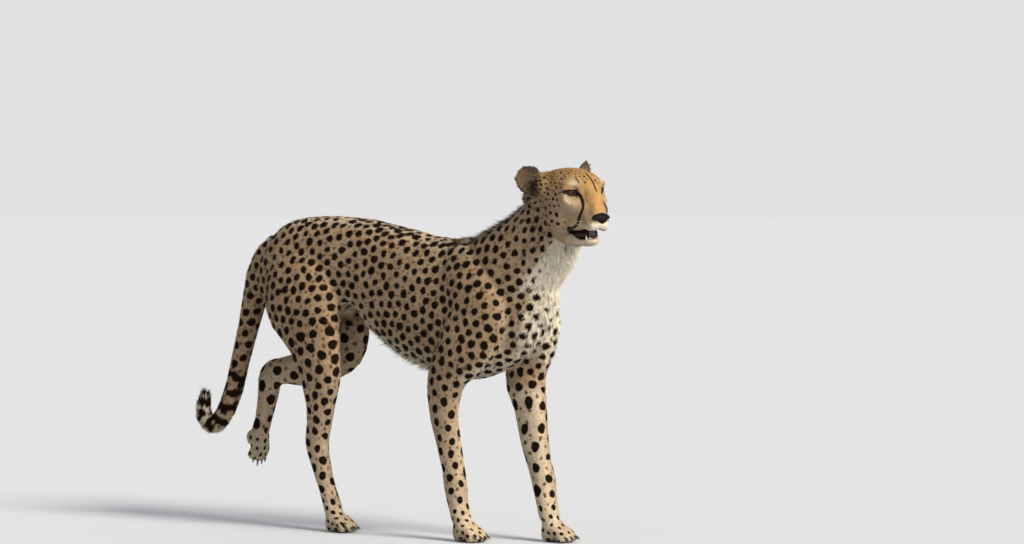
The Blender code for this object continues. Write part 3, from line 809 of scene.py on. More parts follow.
# %% [markdown]
# ## The other markings
# The face has its own: a black tear line from the inner corner of each eye to the mouth, black eye
# rims and lips, and a thin dark line up the forehead. The tail ends in rings and a dark tip. They are
# distances too, so they join the spots in one value. A line is given by a few places near the skin,
# and is laid onto the skin before anything is measured from it.

# %% lines on the face
EVERY = 0.0015  # a line is laid down as places this far apart
HEAD_POINTS = np.nonzero(HEAD_SHARE)[0]
face_tree = tree_of(FACE[HEAD_POINTS])


def line_on_face(line):
    """Distance in mm of each point of the head from a line laid onto the face, on both sides."""
    laid = []
    for a, b in zip(line, line[1:]):
        a, b = Vector(a), Vector(b)
        for i in range(math.ceil((b - a).length / EVERY)):
            place = face_tree.find(a.lerp(b, i * EVERY / (b - a).length))[0]
            laid += [place, Vector((place.x, -place.y, place.z))]
    tree = tree_of(laid)
    far = np.full(COUNT, NO_MARK)
    far[HEAD_POINTS] = [tree.find(FACE[i])[2] * 1000 for i in HEAD_POINTS]
    return far


TEAR = (
    (0.016, 0.0270, -0.006), (0.0225, 0.0275, -0.017), (0.028, 0.0280, -0.028), (0.031, 0.0310, -0.038),
    (0.029, 0.0360, -0.050), (0.021, 0.0370, -0.063), (0.013, 0.0372, -0.076), (0.000, 0.0410, -0.0845),
)
BROW_LINE = ((0.006, 0, 0.040), (0.020, 0, 0.030), (0.032, 0, 0.018), (0.043, 0, 0.000))
BROW_SIDE = ((0.004, 0.0285, 0.036), (0.008, 0.0290, 0.030), (0.014, 0.0275, 0.018))
CHEEK_LINE = ((-0.012, 0.052, 0.001), (-0.026, 0.060, -0.002))
brow_line = line_on_face(BROW_LINE)
face_lines = smallest(  # each less half its width in mm
    line_on_face(TEAR) - 3.2 - 1.0 * ramp(HZ, -0.040, -0.010),
    brow_line - 1.9,
    line_on_face(BROW_SIDE) - 1.6,
    line_on_face(CHEEK_LINE) - 1.4,
)
print("lines on the face cover", int((face_lines < 0).sum()), "points")

# %% nose, whisker roots and the corner of the lips
FOLDED = np.abs(FACE * (0, 1, 0)) + FACE * (1, 0, 1)  # both sides of the head as one
ASIDE = FOLDED[:, 1]
NOSE_LOW, NOSE_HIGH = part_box("nose")
NOSE_HALF, NOSE_SLOPE, NOSE_BEND = 0.0215, 1.2, 0.0620  # the pad narrows downward to a point, like a V
NOSE_MM, NOSE_EDGE = 17, 2.6  # mm in one radius of the pad, and how far its black reaches past it
nose_side = (ASIDE - NOSE_HALF - NOSE_SLOPE * np.minimum(HZ + NOSE_BEND, 0)) * 1000
nose_radii = np.array((NOSE_HIGH - NOSE_LOW) / 2)
nose_near = np.linalg.norm((points - np.array(middle_of("nose"))) / nose_radii, axis=1)
WHISKERS = [
    (0.050 - 0.0080 * column, 0.0245 + 0.0032 * column, -0.068 - 0.0055 * row)
    for row in range(3) for column in range(4)
]
ROOT_RADIUS = 1.1  # mm
LIP_CORNER, LIP_CORNER_RADIUS = (-0.010, 0.0430, -0.0870), 7.5


def folded_distance(place, stretch=1):
    return np.linalg.norm((FOLDED - np.array(place)) / stretch, axis=1)


whisker_roots = np.min([folded_distance(face_tree.find(place)[0]) for place in WHISKERS], axis=0)
print(len(WHISKERS), "whisker roots on each side")

# %% join the marks
DEGREE, RIM = 0.29, 3.1  # mm that a degree measures on the eyeball, and the width of the black rim
SPOTLESS = 12  # mm added where no spots belong
plain_muzzle = ramp(HX, -0.030, 0.000) * ramp(HZ, 0.016, -0.004)
plain_bridge = ramp(ASIDE, 0.036, 0.026) * ramp(HZ, 0.020, 0.006) * ramp(HX, -0.03, 0.0)
plain_brow = bump_at(FOLDED, (0.006, 0.0370, 0.021), (0.018, 0.014, 0.013))
plain_chin = ramp(HZ, -0.086, -0.094)
bare_of_spots = largest(plain_muzzle, plain_bridge, plain_brow, plain_chin)
head_marks = smallest(
    mark + bare_of_spots * SPOTLESS + ramp(brow_line, 7, 3) * SPOTLESS,
    face_lines,
    np.maximum((nose_near - 1.0) * NOSE_MM - NOSE_EDGE, nose_side),
    whisker_roots * 1000 - ROOT_RADIUS,
    LID_GAP * DEGREE - RIM,
    folded_distance(LIP_CORNER, (1.4, 1, 1)) * 1000 - LIP_CORNER_RADIUS,
)
mark = np.where(HEAD_SHARE > 0, head_marks, mark)
print("marks on the head from", round(head_marks[HEAD_POINTS].min(), 1), "mm")

# %% tail rings
# (metres along the tail, half the width in mm)
RINGS = ((0.365, 8), (0.405, 8), (0.447, 9), (0.487, 9), (0.522, 8), (0.552, 7), (0.590, 10))
RING_TIP = 0.640  # the tail is dark from here
ROUND_TAIL = np.arctan2(NY, NX)
for along, half in RINGS:
    ring = np.abs(TAIL_ALONG * 1000 - along * 1000 - 3 * np.sin(ROUND_TAIL * 2 + along * 40)) - half
    mark = np.where(TAIL_SHARE > 0, np.minimum(mark, ring), mark)
mark = np.where(TAIL_SHARE > 0, np.minimum(mark, (RING_TIP - TAIL_ALONG) * 1000), mark)
mark += soften(chance.normal(0, 9, COUNT), 2) * TAIL_SHARE * ramp(TAIL_ALONG, 0.30, 0.40)  # shaggy edges
print(len(RINGS), "rings and a dark tip")

# %% pale, golden and dark places
ear_faces = (normals @ TURN)[:, 0]
white_face = largest(
    # whisker pads: really white, but held to a low share, which is painted shade over both pads
    ramp(HZ, -0.068, -0.084) * ramp(HX, 0.016, 0.040) * 0.34,  # whisker pads
    ramp(HZ, -0.070, -0.080) * ramp(HX, 0.046, 0.056) * 1.5,  # lip below the nose
    ramp(HZ, -0.098, -0.108) * ramp(HX, -0.050, -0.010) * 0.50,  # chin
    bump_at(FOLDED, (0.006, 0.0370, 0.021), (0.012, 0.009, 0.008)) * 0.72,  # over the eye
    bump_at(FOLDED, (0.008, 0.0470, -0.023), (0.017, 0.012, 0.010)) * 0.28,  # below it
    bump_at(FOLDED, (0.018, 0.0420, -0.040), (0.014, 0.010, 0.014)) * 0.20,  # upper cheek
)
PALE = largest(
    ramp(NZ, -0.25, -0.8) * ramp(Z, 0.72, 0.64) * (1 - LEGS) * ramp(X, -0.22, -0.10) * 0.75,  # underside
    BREAST * 1.6,
    # the back: paler on upward faces, a painted sheen of sky light
    ramp(NZ, 0.4, 0.9) * (1 - HEAD_SOFT) * 0.42,  # back
    EAR_SHARE * ramp(np.abs(ear_faces), 0.75, 0.35) * 0.6,  # rim of the ear
    # the insides of the legs are pale; the hind legs' insides are kept less pale, as painted shade
    LEGS * ramp(OUTER, 0.2, -0.6) * np.where(X > 0, 0.5, 0.22),  # inside of the legs
    LEGS * ramp(Z, 0.45, 0.15) * 0.25,
    FEET * 0.4,
    ramp(TAIL_ALONG, 0.42, 0.60) * TAIL_SHARE * 0.8,
    soften(THROAT, 12) * 1.3,
    white_face * HEAD_SHARE,
)
bridge_and_brow = HEAD_SHARE * ramp(ASIDE + 0.5 * np.clip(-0.020 - HZ, 0, 0.04), 0.044, 0.024)
GOLD = largest(
    ramp(NZ, 0.2, 0.9) * BODY * (1 - TAIL_SHARE) * 0.20,
    bridge_and_brow * ramp(HZ, -0.070, -0.045) * ramp(HX, -0.10, -0.03),
    CROWN * 0.75,
    TAIL_SHARE * ramp(TAIL_ALONG, 0.30, 0.05) * 0.3,
)
EAR_BACK = bump_at(FOLDED, (-0.118, 0.084, 0.018), (0.030, 0.022, 0.020))
EAR_BACK = EAR_SHARE * ramp(ear_faces, -0.3, -0.6) * EAR_BACK
# painted shade: the coat is darkened round the base of each ear, as in the shadow there
EAR_ROOT_SHADE = bump_at(FOLDED, (-0.104, 0.068, 0.012), (0.019, 0.018, 0.019)) * HEAD_SOFT
UNDER_EAR = bump_at(FOLDED, (-0.134, 0.078, -0.012), (0.020, 0.020, 0.026)) * 0.8
# painted shade: the side of the muzzle beside the bridge is darkened as if turned away from the light
MUZZLE_SIDE_SHADE = bump_at(FOLDED, (0.034, 0.032, -0.052), (0.020, 0.014, 0.024)) * HEAD_SHARE
GOLD = GOLD * (1 - 0.75 * EAR_SHARE)
PALE, GOLD, RIDGE = (soften(np.clip(v, 0, 2), 8) for v in (PALE, GOLD, NAPE * 0.62))
DARK = RIDGE + EAR_BACK * 0.70 + CROWN * 0.10 + EAR_SHARE * 0.50 + EAR_IN * 0.06
# the ear root and beside-the-bridge terms on the next line are painted shade
DARK = np.clip(DARK + EAR_ROOT_SHADE * 1.5 + UNDER_EAR + MUZZLE_SIDE_SHADE * 0.62, 0, 1.2)
mark = np.where(EAR_SHARE > 0, 20, mark)  # no spots on the ears
print("marks from", round(mark.min(), 1), "mm; pale", round(PALE.mean(), 2), "gold", round(GOLD.mean(), 2))

# %% [markdown]
# ## Bare places
# No hair grows in the eye openings, in the mouth, under the nose pad or on the soles.

# %% bare skin
MOUTH_WIDE, SOLE = 0.06, 0.002
LIP_LINE = 2.0  # mm of black lip round the mouth
in_mouth = (GAPE < 0) & (ASIDE < MOUTH_WIDE) & (HEAD_SHARE > 0)
BARE = largest(
    (LID_GAP < 3).astype(float),
    (nose_near < 1.16) * (nose_side < 0) * HEAD_SHARE,
    in_mouth.astype(float),
    (Z < SOLE).astype(float),
)
lips = np.where((HEAD_SHARE > 0) & (ASIDE < MOUTH_WIDE), GAPE - LIP_LINE - 1.6 * corner, NO_MARK)
mark = np.minimum(mark, lips)
print("bare points:", int(BARE.sum()), "crest points:", int((NAPE > 0.5).sum()))

# %% [markdown]
# ## Values for the materials
# Skin and coat wear the same colours, so both carry the same values: how near the edge of a mark,
# how pale, how golden, how dark, and so on. Each becomes an attribute that the materials read. A tuft
# is longer than the edge of a spot is wide, so the marks are also read below its middle and its tip,
# and a spot keeps its edge.

# %% what lies under a hair
AT_MIDDLE, AT_TIP = 0.42, 0.84  # shares of a hair's length


def under_hair(share):
    """For each point, the skin's points below that share of a hair rooted there, and their weights."""
    places = points + lie * (LENGTH * share * np.cos(np.radians(LIFT)) * MM)[:, None]
    found = [SKIN_TREE.find_n(p, 3) for p in places]
    weight = 1 / (np.array([[hit[2] for hit in hits] for hits in found]) + 1e-5)
    return np.array([[hit[1] for hit in hits] for hits in found]), weight / weight.sum(axis=1)[:, None]


def read_at(values, place):
    near, weight = place
    return (values[near] * weight).sum(axis=1)


UNDER_MIDDLE, UNDER_TIP = under_hair(AT_MIDDLE), under_hair(AT_TIP)
changes = float(np.abs(read_at(mark, UNDER_TIP) - mark).mean())
print("a mark changes by", round(changes, 2), "mm from root to tip on average")

# %% keep the values on the skin
VALUES = {"mark": mark, "smudge": smudge, "pale": PALE, "gold": GOLD, "dark": DARK, "bare": BARE}
HAIR_VALUES = {}
for name in ("mark", "smudge", "pale"):
    at_root = VALUES[name]
    at_middle, at_tip = read_at(at_root, UNDER_MIDDLE), read_at(at_root, UNDER_TIP)
    change = at_middle - (at_root + at_tip) / 2  # so the middle of the hair is right too
    HAIR_VALUES[name] = at_root + change, at_tip + change


def keep(mesh, name, values):
    layer = mesh.attributes.new(name, "FLOAT", "POINT")
    layer.data.foreach_set("value", np.ascontiguousarray(values, np.float32))


for name, values in VALUES.items():
    keep(skin.data, name, values)
# the skin takes the painted shade of a tuft near its root
keep(skin.data, "tip", np.full(COUNT, 0.15))  # the skin shows near the roots
keep(skin.data, "tone", np.full(COUNT, 0.5))
skin.data.shade_smooth()
print("values kept:", ", ".join(VALUES))

# %% [markdown]
# ## Unwrap
# The skin is opened out on its own shape. A tuft later takes the place of its root in this map.

# %% unwrap the skin
bpy.context.view_layer.objects.active = skin
skin.select_set(True)
skin.data.uv_layers.new(name="OFBake")
bpy.ops.object.mode_set(mode="EDIT")
bpy.ops.mesh.select_all(action="SELECT")
bpy.ops.uv.smart_project(angle_limit=math.radians(66), island_margin=0.002)
bpy.ops.object.mode_set(mode="OBJECT")
MAP = read(skin.data.uv_layers["OFBake"].uv, "vector", 2)
print("unwrapped", len(MAP), "corners")

# %% [markdown]
# ## The coat
# Hair can't be kept as strands, so it is built as tufts: thin closed slivers with a broad root and
# one tip. A four-sided sliver is the least that is closed, so there can be a great many. Each one
# grows from a place on the skin, lies along the coat and is tilted up by the lift of that place.

# %% a tuft
sliver = bmesh.new()
bmesh.ops.create_cone(sliver, cap_ends=True, segments=3, radius1=0.5, radius2=0, depth=1)
bmesh.ops.remove_doubles(sliver, verts=sliver.verts, dist=1e-4)
bmesh.ops.recalc_face_normals(sliver, faces=sliver.faces)
bmesh.ops.triangulate(sliver, faces=sliver.faces)
bmesh.ops.rotate(sliver, verts=sliver.verts, matrix=Matrix.Rotation(math.radians(90), 3, "Y"))
bmesh.ops.translate(sliver, verts=sliver.verts, vec=(0.5, 0, 0))
TUFT_POINTS = np.array([vert.co for vert in sliver.verts])
TUFT_FACES = np.array([[vert.index for vert in face.verts] for face in sliver.faces])
sliver.free()
TUFT_TIP = TUFT_POINTS[:, 0].clip(0, 1)
PATCH = 0.003  # a tuft's own small patch of the map
flat = TUFT_POINTS[:, :2] * (0.8, 0.8) + (0.0, 0.5)
TUFT_MAP = (flat - flat.mean(axis=0)) * PATCH
print("a tuft has", len(TUFT_POINTS), "points and", len(TUFT_FACES), "faces; tips at", TUFT_TIP)

# %% where tufts stand
SUNK = 0.0006  # roots lie a little under the skin
THICK = 0.55  # of a tuft's width


def stand(triangle, shares, length_by, lift_by, width_by, wander):
    """The points of every tuft, and the three directions that its normals are made of."""
    n = len(triangle)
    root, up, along = (carried(v, triangle, shares) for v in (points, normals, lie))
    up = unit(up)
    along = unit(along - up * (along * up).sum(axis=1)[:, None], TINY)
    side = np.cross(up, along)
    sway = np.radians(chance.normal(0, wander, n))[:, None]
    along, side = along * np.cos(sway) + side * np.sin(sway), side * np.cos(sway) - along * np.sin(sway)
    lift = np.radians(carried(LIFT, triangle, shares) * chance.uniform(0.55, 1.25, n) + lift_by)[:, None]
    length = carried(LENGTH, triangle, shares) * chance.uniform(0.72, 1.10, n) * length_by * MM
    width = carried(WIDTH, triangle, shares) * chance.uniform(0.8, 1.15, n) * width_by * MM
    ahead = along * np.cos(lift) + up * np.sin(lift)
    above = up * np.cos(lift) - along * np.sin(lift)
    t = TUFT_POINTS[None]
    placed = (
        (root - up * SUNK)[:, None]
        + ahead[:, None] * t[:, :, 0:1] * length[:, None, None]
        + side[:, None] * t[:, :, 1:2] * width[:, None, None]
        + above[:, None] * t[:, :, 2:3] * (width * THICK)[:, None, None]
    )
    return placed, up[:, None], side[:, None] * t[:, :, 1:2] + above[:, None] * t[:, :, 2:3]


# %% grow the coat


def grow(name, triangle, shares, length_by=1.0, lift_by=0.0, width_by=1.0, wander=11, as_skin=0.8):
    """One piece of coat, a tuft for each place given."""
    placed, up, round_tuft = stand(triangle, shares, length_by, lift_by, width_by, wander)
    mesh = bpy.data.meshes.new(name)
    n, k, f = len(triangle), len(TUFT_POINTS), len(TUFT_FACES)
    mesh.vertices.add(n * k)
    mesh.vertices.foreach_set("co", placed.astype(np.float32).ravel())
    faces = (TUFT_FACES[None] + (np.arange(n) * k)[:, None, None]).reshape(-1, 3)
    mesh.loops.add(n * f * 3)
    mesh.loops.foreach_set("vertex_index", faces.astype(np.int32).ravel())
    mesh.polygons.add(n * f)
    mesh.polygons.foreach_set("loop_start", np.arange(n * f, dtype=np.int32) * 3)
    mesh.update(calc_edges=True)
    for key, values in VALUES.items():
        if key != "bare":
            both = HAIR_VALUES.get(key, (values, values))
            at_root, at_tip = (carried(v, triangle, shares)[:, None] for v in both)
            keep(mesh, key, (at_root + (at_tip - at_root) * TUFT_TIP[None]).ravel())
    keep(mesh, "tip", np.tile(TUFT_TIP, n))
    keep(mesh, "tone", np.repeat(chance.random(n), k))
    home = np.einsum("nc...,nc->n...", MAP[CORNERS[triangle]], shares)
    flat = (home[:, None] + TUFT_MAP[None]).reshape(-1, 2)
    layer = mesh.uv_layers.new(name="OFBake")
    layer.uv.foreach_set("vector", flat[faces.ravel()].astype(np.float32).ravel())
    as_skin = as_skin * (1 - 0.9 * carried(EAR_SHARE, triangle, shares))  # thin ears are seen from behind too
    shading = unit(up * as_skin[:, None, None] + round_tuft * 0.7)
    mesh.shade_smooth()
    mesh.normals_split_custom_set_from_vertices(shading.reshape(-1, 3).tolist())
    add_object(name, mesh).data.materials.append(hair)


# %% [markdown]
# ## Colours
# One group of nodes turns the kept values into the colour of the hair, for skin and coat alike. The
# edge of a spot is broken up by fine noise, because real spots end in single hairs. A tuft is darker
# at its root, where light doesn't reach, and each differs a little from its neighbours.

# %% nodes that calculate and mix


def link(tree, value, socket):
    if isinstance(value, bpy.types.NodeSocket):
        tree.links.new(value, socket)
    else:
        socket.default_value = value


def calculate(tree, operation, first, second=0.5, clamp=False):
    made = tree.nodes.new("ShaderNodeMath")
    made.operation, made.use_clamp = operation, clamp
    link(tree, first, made.inputs[0])
    link(tree, second, made.inputs[1])
    return made.outputs[0]


def between(tree, value, low, high, to_low=0.0, to_high=1.0):
    made = tree.nodes.new("ShaderNodeMapRange")
    made.interpolation_type = "SMOOTHSTEP"
    for value, socket in zip((value, low, high, to_low, to_high), made.inputs):
        link(tree, value, socket)
    return made.outputs[0]


def mixed(tree, share, first, second, blend="MIX"):
    made = tree.nodes.new("ShaderNodeMix")
    made.data_type, made.blend_type = "RGBA", blend
    for value, number in ((share, 0), (first, 6), (second, 7)):
        link(tree, value, made.inputs[number])
    return made.outputs[2]


# %% nodes for noise, kept values and relief


def noise(tree, scale, detail=2.0):
    made = tree.nodes.new("ShaderNodeTexNoise")
    link(tree, scale, made.inputs["Scale"])
    link(tree, detail, made.inputs["Detail"])
    tree.links.new(tree.nodes.new("ShaderNodeTexCoord").outputs["Object"], made.inputs["Vector"])
    return made.outputs[0]


def attribute(tree, name):
    made = tree.nodes.new("ShaderNodeAttribute")
    made.attribute_name = name
    return made.outputs["Fac"]


def raised(tree, ends, height, strength, distance):
    """Relief from a height."""
    bump = tree.nodes.new("ShaderNodeBump")
    bump.inputs["Strength"].default_value = strength
    bump.inputs["Distance"].default_value = distance
    link(tree, height, bump.inputs["Height"])
    link(tree, bump.outputs[0], ends["Normal"])


# %% groups and materials
FLOAT, COLOUR = "NodeSocketFloat", "NodeSocketColor"


def new_group(name, inputs, outputs):
    tree = bpy.data.node_groups.new(name, "ShaderNodeTree")
    for sockets, way in ((inputs, "INPUT"), (outputs, "OUTPUT")):
        for socket, kind in sockets.items():
            tree.interface.new_socket(socket, in_out=way, socket_type=kind)
    return tree, tree.nodes.new("NodeGroupInput").outputs, tree.nodes.new("NodeGroupOutput").inputs


def placed_group(tree, group, **values):
    made = tree.nodes.new("ShaderNodeGroup")
    made.node_tree = group
    for name, value in values.items():
        link(tree, value, made.inputs[name])
    return made.outputs


def new_material(name, roughness, colour=(0.5, 0.5, 0.5), **settings):
    made = bpy.data.materials.new(name)
    made.use_nodes = True
    made.diffuse_color = (*colour, 1)
    ends = made.node_tree.nodes["Principled BSDF"].inputs
    ends["Base Color"].default_value = (*colour, 1)
    ends["Roughness"].default_value = roughness
    for key, value in settings.items():
        ends[key.replace("_", " ")].default_value = value
    return made, made.node_tree, ends


# %% the mottle that teeth, claws, whiskers, tongue, nose and floor share
mottle, given, out = new_group(
    "mottle", {"Scale": FLOAT, "Detail": FLOAT, "First": COLOUR, "Second": COLOUR}, {"Color": COLOUR}
)
speckles = noise(mottle, given["Scale"], given["Detail"])
link(mottle, mixed(mottle, speckles, given["First"], given["Second"]), out["Color"])


def mottled(name, roughness, colour, scale, detail, first, second, **settings):
    """A material whose colour wanders between two."""
    made, tree, ends = new_material(name, roughness, colour, **settings)
    worn = placed_group(tree, mottle, Scale=scale, Detail=detail, First=(*first, 1), Second=(*second, 1))
    link(tree, worn["Color"], ends["Base Color"])
    return made


print("groups:", [group.name for group in bpy.data.node_groups])

# %% the colours of the coat
TAN = (0.435, 0.306, 0.188, 1)
OCHRE = (0.500, 0.290, 0.114, 1)
CREAM = (0.850, 0.755, 0.580, 1)
WHITE = (0.940, 0.870, 0.730, 1)
BLACK = (0.011, 0.005, 0.002, 1)
RUST = (0.105, 0.048, 0.022, 1)
UMBER = (0.020, 0.013, 0.010, 1)
WORN_VALUES = ("Mark", "Smudge", "Pale", "Gold", "Dark", "Tip", "Tone")
coat_colours, given, out = new_group(
    "coat_colours", {name: FLOAT for name in WORN_VALUES}, {"Color": COLOUR, "Height": FLOAT}
)
tree = coat_colours
fine = noise(tree, 420, 3)
broad = noise(tree, 9, 3)
colour = mixed(tree, given["Gold"], TAN, OCHRE)
colour = mixed(tree, calculate(tree, "MULTIPLY", given["Pale"], 1.0, True), colour, CREAM)
colour = mixed(tree, calculate(tree, "SUBTRACT", given["Pale"], 1.0, True), colour, WHITE)
patches = between(tree, broad, 0.30, 0.70, 0.90, 1.08)
uneven = calculate(tree, "MULTIPLY", patches, between(tree, noise(tree, 70, 2), 0.30, 0.70, 0.90, 1.09))
colour = mixed(tree, 1.0, colour, uneven, "MULTIPLY")
each = between(tree, given["Tone"], 0, 1, 0.82, 1.14)
shade = calculate(tree, "MULTIPLY", each, between(tree, given["Tip"], 0, 1, 0.76, 1.10))
colour = mixed(tree, 1.0, colour, shade, "MULTIPLY")
streaks = between(tree, given["Tone"], 0.10, 0.80, 0.35, 1.30)
colour = mixed(tree, calculate(tree, "MULTIPLY", given["Dark"], streaks, True), colour, UMBER)
flecks = between(tree, noise(tree, 240, 2), 0.55, 0.66, 0.0, 0.34)
colour = mixed(tree, flecks, colour, RUST)
ragged = calculate(tree, "MULTIPLY", calculate(tree, "SUBTRACT", fine, 0.5), 2.6)
small = between(tree, calculate(tree, "ADD", given["Smudge"], ragged), -0.6, 1.4, 0.90, 0.0)
colour = mixed(tree, small, colour, RUST)
spot = between(tree, calculate(tree, "ADD", given["Mark"], ragged), -0.7, 0.8, 1.0, 0.0)
link(tree, mixed(tree, spot, colour, BLACK), out["Color"])
link(tree, fine, out["Height"])
print("the coat's colours take", len(tree.nodes), "nodes")


def wear_coat(tree):
    """The coat's colours, placed in a material and fed from the piece's own values."""
    return placed_group(tree, coat_colours, **{name: attribute(tree, name.lower()) for name in WORN_VALUES})


# %% hair and hide
PLAIN_COAT = (0.5, 0.3, 0.14)
WET_SKIN = (0.012, 0.006, 0.006, 1)
hair, tree, ends = new_material("coat_hair", 0.66, PLAIN_COAT, Specular_IOR_Level=0.05)
link(tree, wear_coat(tree)["Color"], ends["Base Color"])

hide, tree, ends = new_material("hide", 0.7, PLAIN_COAT, Specular_IOR_Level=0.12)
worn = wear_coat(tree)
naked = attribute(tree, "bare")
wet = between(tree, noise(tree, 300, 2), 0.3, 0.7, 0.25, 0.5)
link(tree, mixed(tree, naked, worn["Color"], WET_SKIN), ends["Base Color"])
link(tree, between(tree, naked, 0.2, 0.8, 0.75, wet), ends["Roughness"])
raised(tree, ends, worn["Height"], 0.5, 0.0008)
skin.data.materials.append(hide)
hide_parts(*FLESH)
print("the skin replaces", len(FLESH), "solids")

# %% [markdown]
# ## Growing the coat
# The coat is grown over the whole skin and then dealt out in pieces, region by region, so that none
# is too large to bake.

# %% the coat, region by region
REGIONS = {
    "head": ("head", "lower_jaw", *EARS),
    "neck": ("neck",),
    "trunk": ("trunk",),
    "tail": TAIL,
    "forelegs": [n for n in LEG_NAMES if n.startswith("fore")],
    "hindlegs": [n for n in LEG_NAMES if n.startswith("hind")],
}
MOST_TUFTS = 48000  # in one piece
density = 1e6 / np.maximum(SPACING, 1.0) ** 2 * (BARE < 0.5)
triangle, shares = scatter(density[TRIANGLES].min(axis=1))
home = PART[TRIANGLES[triangle, 0]]
total = 0
for region, names in REGIONS.items():
    chosen = np.nonzero(np.isin(home, [FLESH.index(n) for n in names]))[0]
    pieces = max(1, math.ceil(len(chosen) / MOST_TUFTS))
    order = chosen[np.argsort(points[TRIANGLES[triangle[chosen], 0], 0], kind="stable")]
    for number, share in enumerate(np.array_split(order, pieces)):
        grow(f"coat_{region}_{number + 1}", triangle[share], shares[share])
        total += len(share)
print("coat of", total, "tufts,", total * len(TUFT_FACES), "triangles")

# %% loose locks where the coat is long
LOCKS_APIECE = 26000  # per square metre
LOCKS = NAPE + BELLY + THROAT * 0.7 + BREAST * 0.5 + RUFF * 0.3 + BRUSH * 0.8
LOCKS = np.clip(LOCKS, 0, 1) * (BARE < 0.5)
triangle, shares = scatter((LOCKS * LOCKS_APIECE)[TRIANGLES].min(axis=1))
grow("coat_locks", triangle, shares, length_by=1.22, lift_by=7, width_by=1.8, wander=17, as_skin=0.45)
print(len(triangle), "locks")

# %% [markdown]
# ## Eyes
# A cheetah's eye is amber with a round pupil. The ball is a sphere with its pole on the gaze, so
# rings of faces fit pupil and iris, and the angle from the gaze is kept for the material to read.

# %% eyes
GAZE = {"eye_right": -16, "eye_left": 30}  # degrees, towards the left
LOOKS_DOWN = -0.02
PUPIL, IRIS = 15.0, 42.0  # degrees from the gaze
IRIS_DARK, IRIS_LIGHT, IRIS_RIM = (0.038, 0.016, 0.006, 1), (0.115, 0.052, 0.016, 1), (0.035, 0.014, 0.006, 1)
PUPIL_BLACK, EYE_WHITE = (0.002, 0.002, 0.002, 1), (0.05, 0.030, 0.022, 1)
eye_look, tree, ends = new_material("eyeball", 0.14, (0.2, 0.09, 0.03), Specular_IOR_Level=0.22)
angle = attribute(tree, "from_gaze")
iris = mixed(tree, noise(tree, 900, 3), IRIS_DARK, IRIS_LIGHT)
iris = mixed(tree, between(tree, angle, IRIS - 12, IRIS - 2), iris, IRIS_RIM)
iris = mixed(tree, between(tree, angle, PUPIL - 0.8, PUPIL + 0.8), PUPIL_BLACK, iris)
whole_eye = mixed(tree, between(tree, angle, IRIS - 1, IRIS + 1.5), iris, EYE_WHITE)
link(tree, whole_eye, ends["Base Color"])
for name, turn in GAZE.items():
    side = LEFT if name == "eye_left" else RIGHT
    ball = bmesh.new()
    bmesh.ops.create_uvsphere(ball, u_segments=40, v_segments=30, radius=EYE_RADIUS)
    heights = [vert.co.z / EYE_RADIUS for vert in ball.verts]
    gaze = Vector((math.cos(math.radians(turn)), math.sin(math.radians(turn)), LOOKS_DOWN))
    spin = gaze.to_track_quat("Z", "Y").to_matrix().to_4x4()
    place = HEAD @ Matrix.Translation(EYES_LIE + Vector((0, EYES_APART / 2 * side, 0))) @ spin
    bmesh.ops.transform(ball, matrix=place, verts=ball.verts)
    eyeball = "eyeball_" + name.split("_")[1]
    eye = add_object(eyeball, mesh_of(eyeball, ball))
    keep(eye.data, "from_gaze", np.degrees(np.arccos(np.clip(heights, -1, 1))))
    eye.data.shade_smooth()
    eye.data.materials.append(eye_look)
    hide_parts(name)
print("two eyes of", round(EYE_RADIUS * 2000, 1), "mm")

# %% [markdown]
# ## Nose
# The nose pad is bare, black and finely pebbled, with a comma-shaped nostril on each side and a
# groove down the middle. It starts as a ball, and soft dents shape it.

# %% nose pad
NOSE_AT = np.array((0.0570, 0, -0.0635))
NOSE_RADII = np.array((0.0134, 0.0240, 0.0150))
NOSE_TILT = 20  # degrees
NOSE_DENTS = (  # middle in shares of the radii, reach, depth in mm
    ((0.72, 0.50, -0.30), (0.30, 0.24, 0.26), 4.2),
    ((0.45, 0.86, -0.20), (0.30, 0.22, 0.16), 3.0),
    ((1.00, 0.00, -0.30), (0.60, 0.06, 0.80), 1.1),
)
pad = bmesh.new()
bmesh.ops.create_uvsphere(pad, u_segments=64, v_segments=48, radius=1)
ball_points = np.array([vert.co for vert in pad.verts])
nose_points = ball_points.copy()
nose_points[:, 1] *= 1 - 0.72 * ramp(-ball_points[:, 2], -0.15, 0.80)  # narrower below
nose_points[:, 2] *= np.where(ball_points[:, 2] > 0, 0.86, 1.10)  # and flatter above
depth = sum(share * deep * half for share, deep, half in on_both_sides(ball_points, NOSE_DENTS))
nose_points = nose_points * NOSE_RADII - ball_points * (depth * MM)[:, None]
pitch = np.array(Matrix.Rotation(math.radians(NOSE_TILT), 3, "Y"))
nose_points = from_head(nose_points @ pitch.T + NOSE_AT)
for vert, place in zip(pad.verts, nose_points):
    vert.co = place
nose = add_object("nose_pad", mesh_of("nose_pad", pad))
nose.data.shade_smooth()
print("nose pad", [round(a * 2000, 1) for a in NOSE_RADII], "mm")

# %% the black skin of the nose
PEBBLES = 900  # in a metre
black_skin = mottled(
    "nose_skin", 0.6, (0.006, 0.005, 0.005), 120, 3, (0.005, 0.004, 0.004), (0.016, 0.012, 0.011),
    Specular_IOR_Level=0.06,
)
tree = black_skin.node_tree
ends = tree.nodes["Principled BSDF"].inputs
pebbles = tree.nodes.new("ShaderNodeTexVoronoi")
pebbles.inputs["Scale"].default_value = PEBBLES
tree.links.new(tree.nodes.new("ShaderNodeTexCoord").outputs["Object"], pebbles.inputs["Vector"])
link(tree, between(tree, noise(tree, 200, 2), 0.3, 0.7, 0.50, 0.70), ends["Roughness"])
raised(tree, ends, pebbles.outputs["Distance"], 0.45, 0.0003)
nose.data.materials.append(black_skin)
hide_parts("nose")
print("pebbles about", round(1000 / PEBBLES, 1), "mm apart")

# %% [markdown]
# ## Tapered rods
# Teeth, claws and whiskers all taper along a bent line. Circles are set along the line and bridged,
# which keeps the section round where a bent cone would be squashed.

# %% a tapered rod


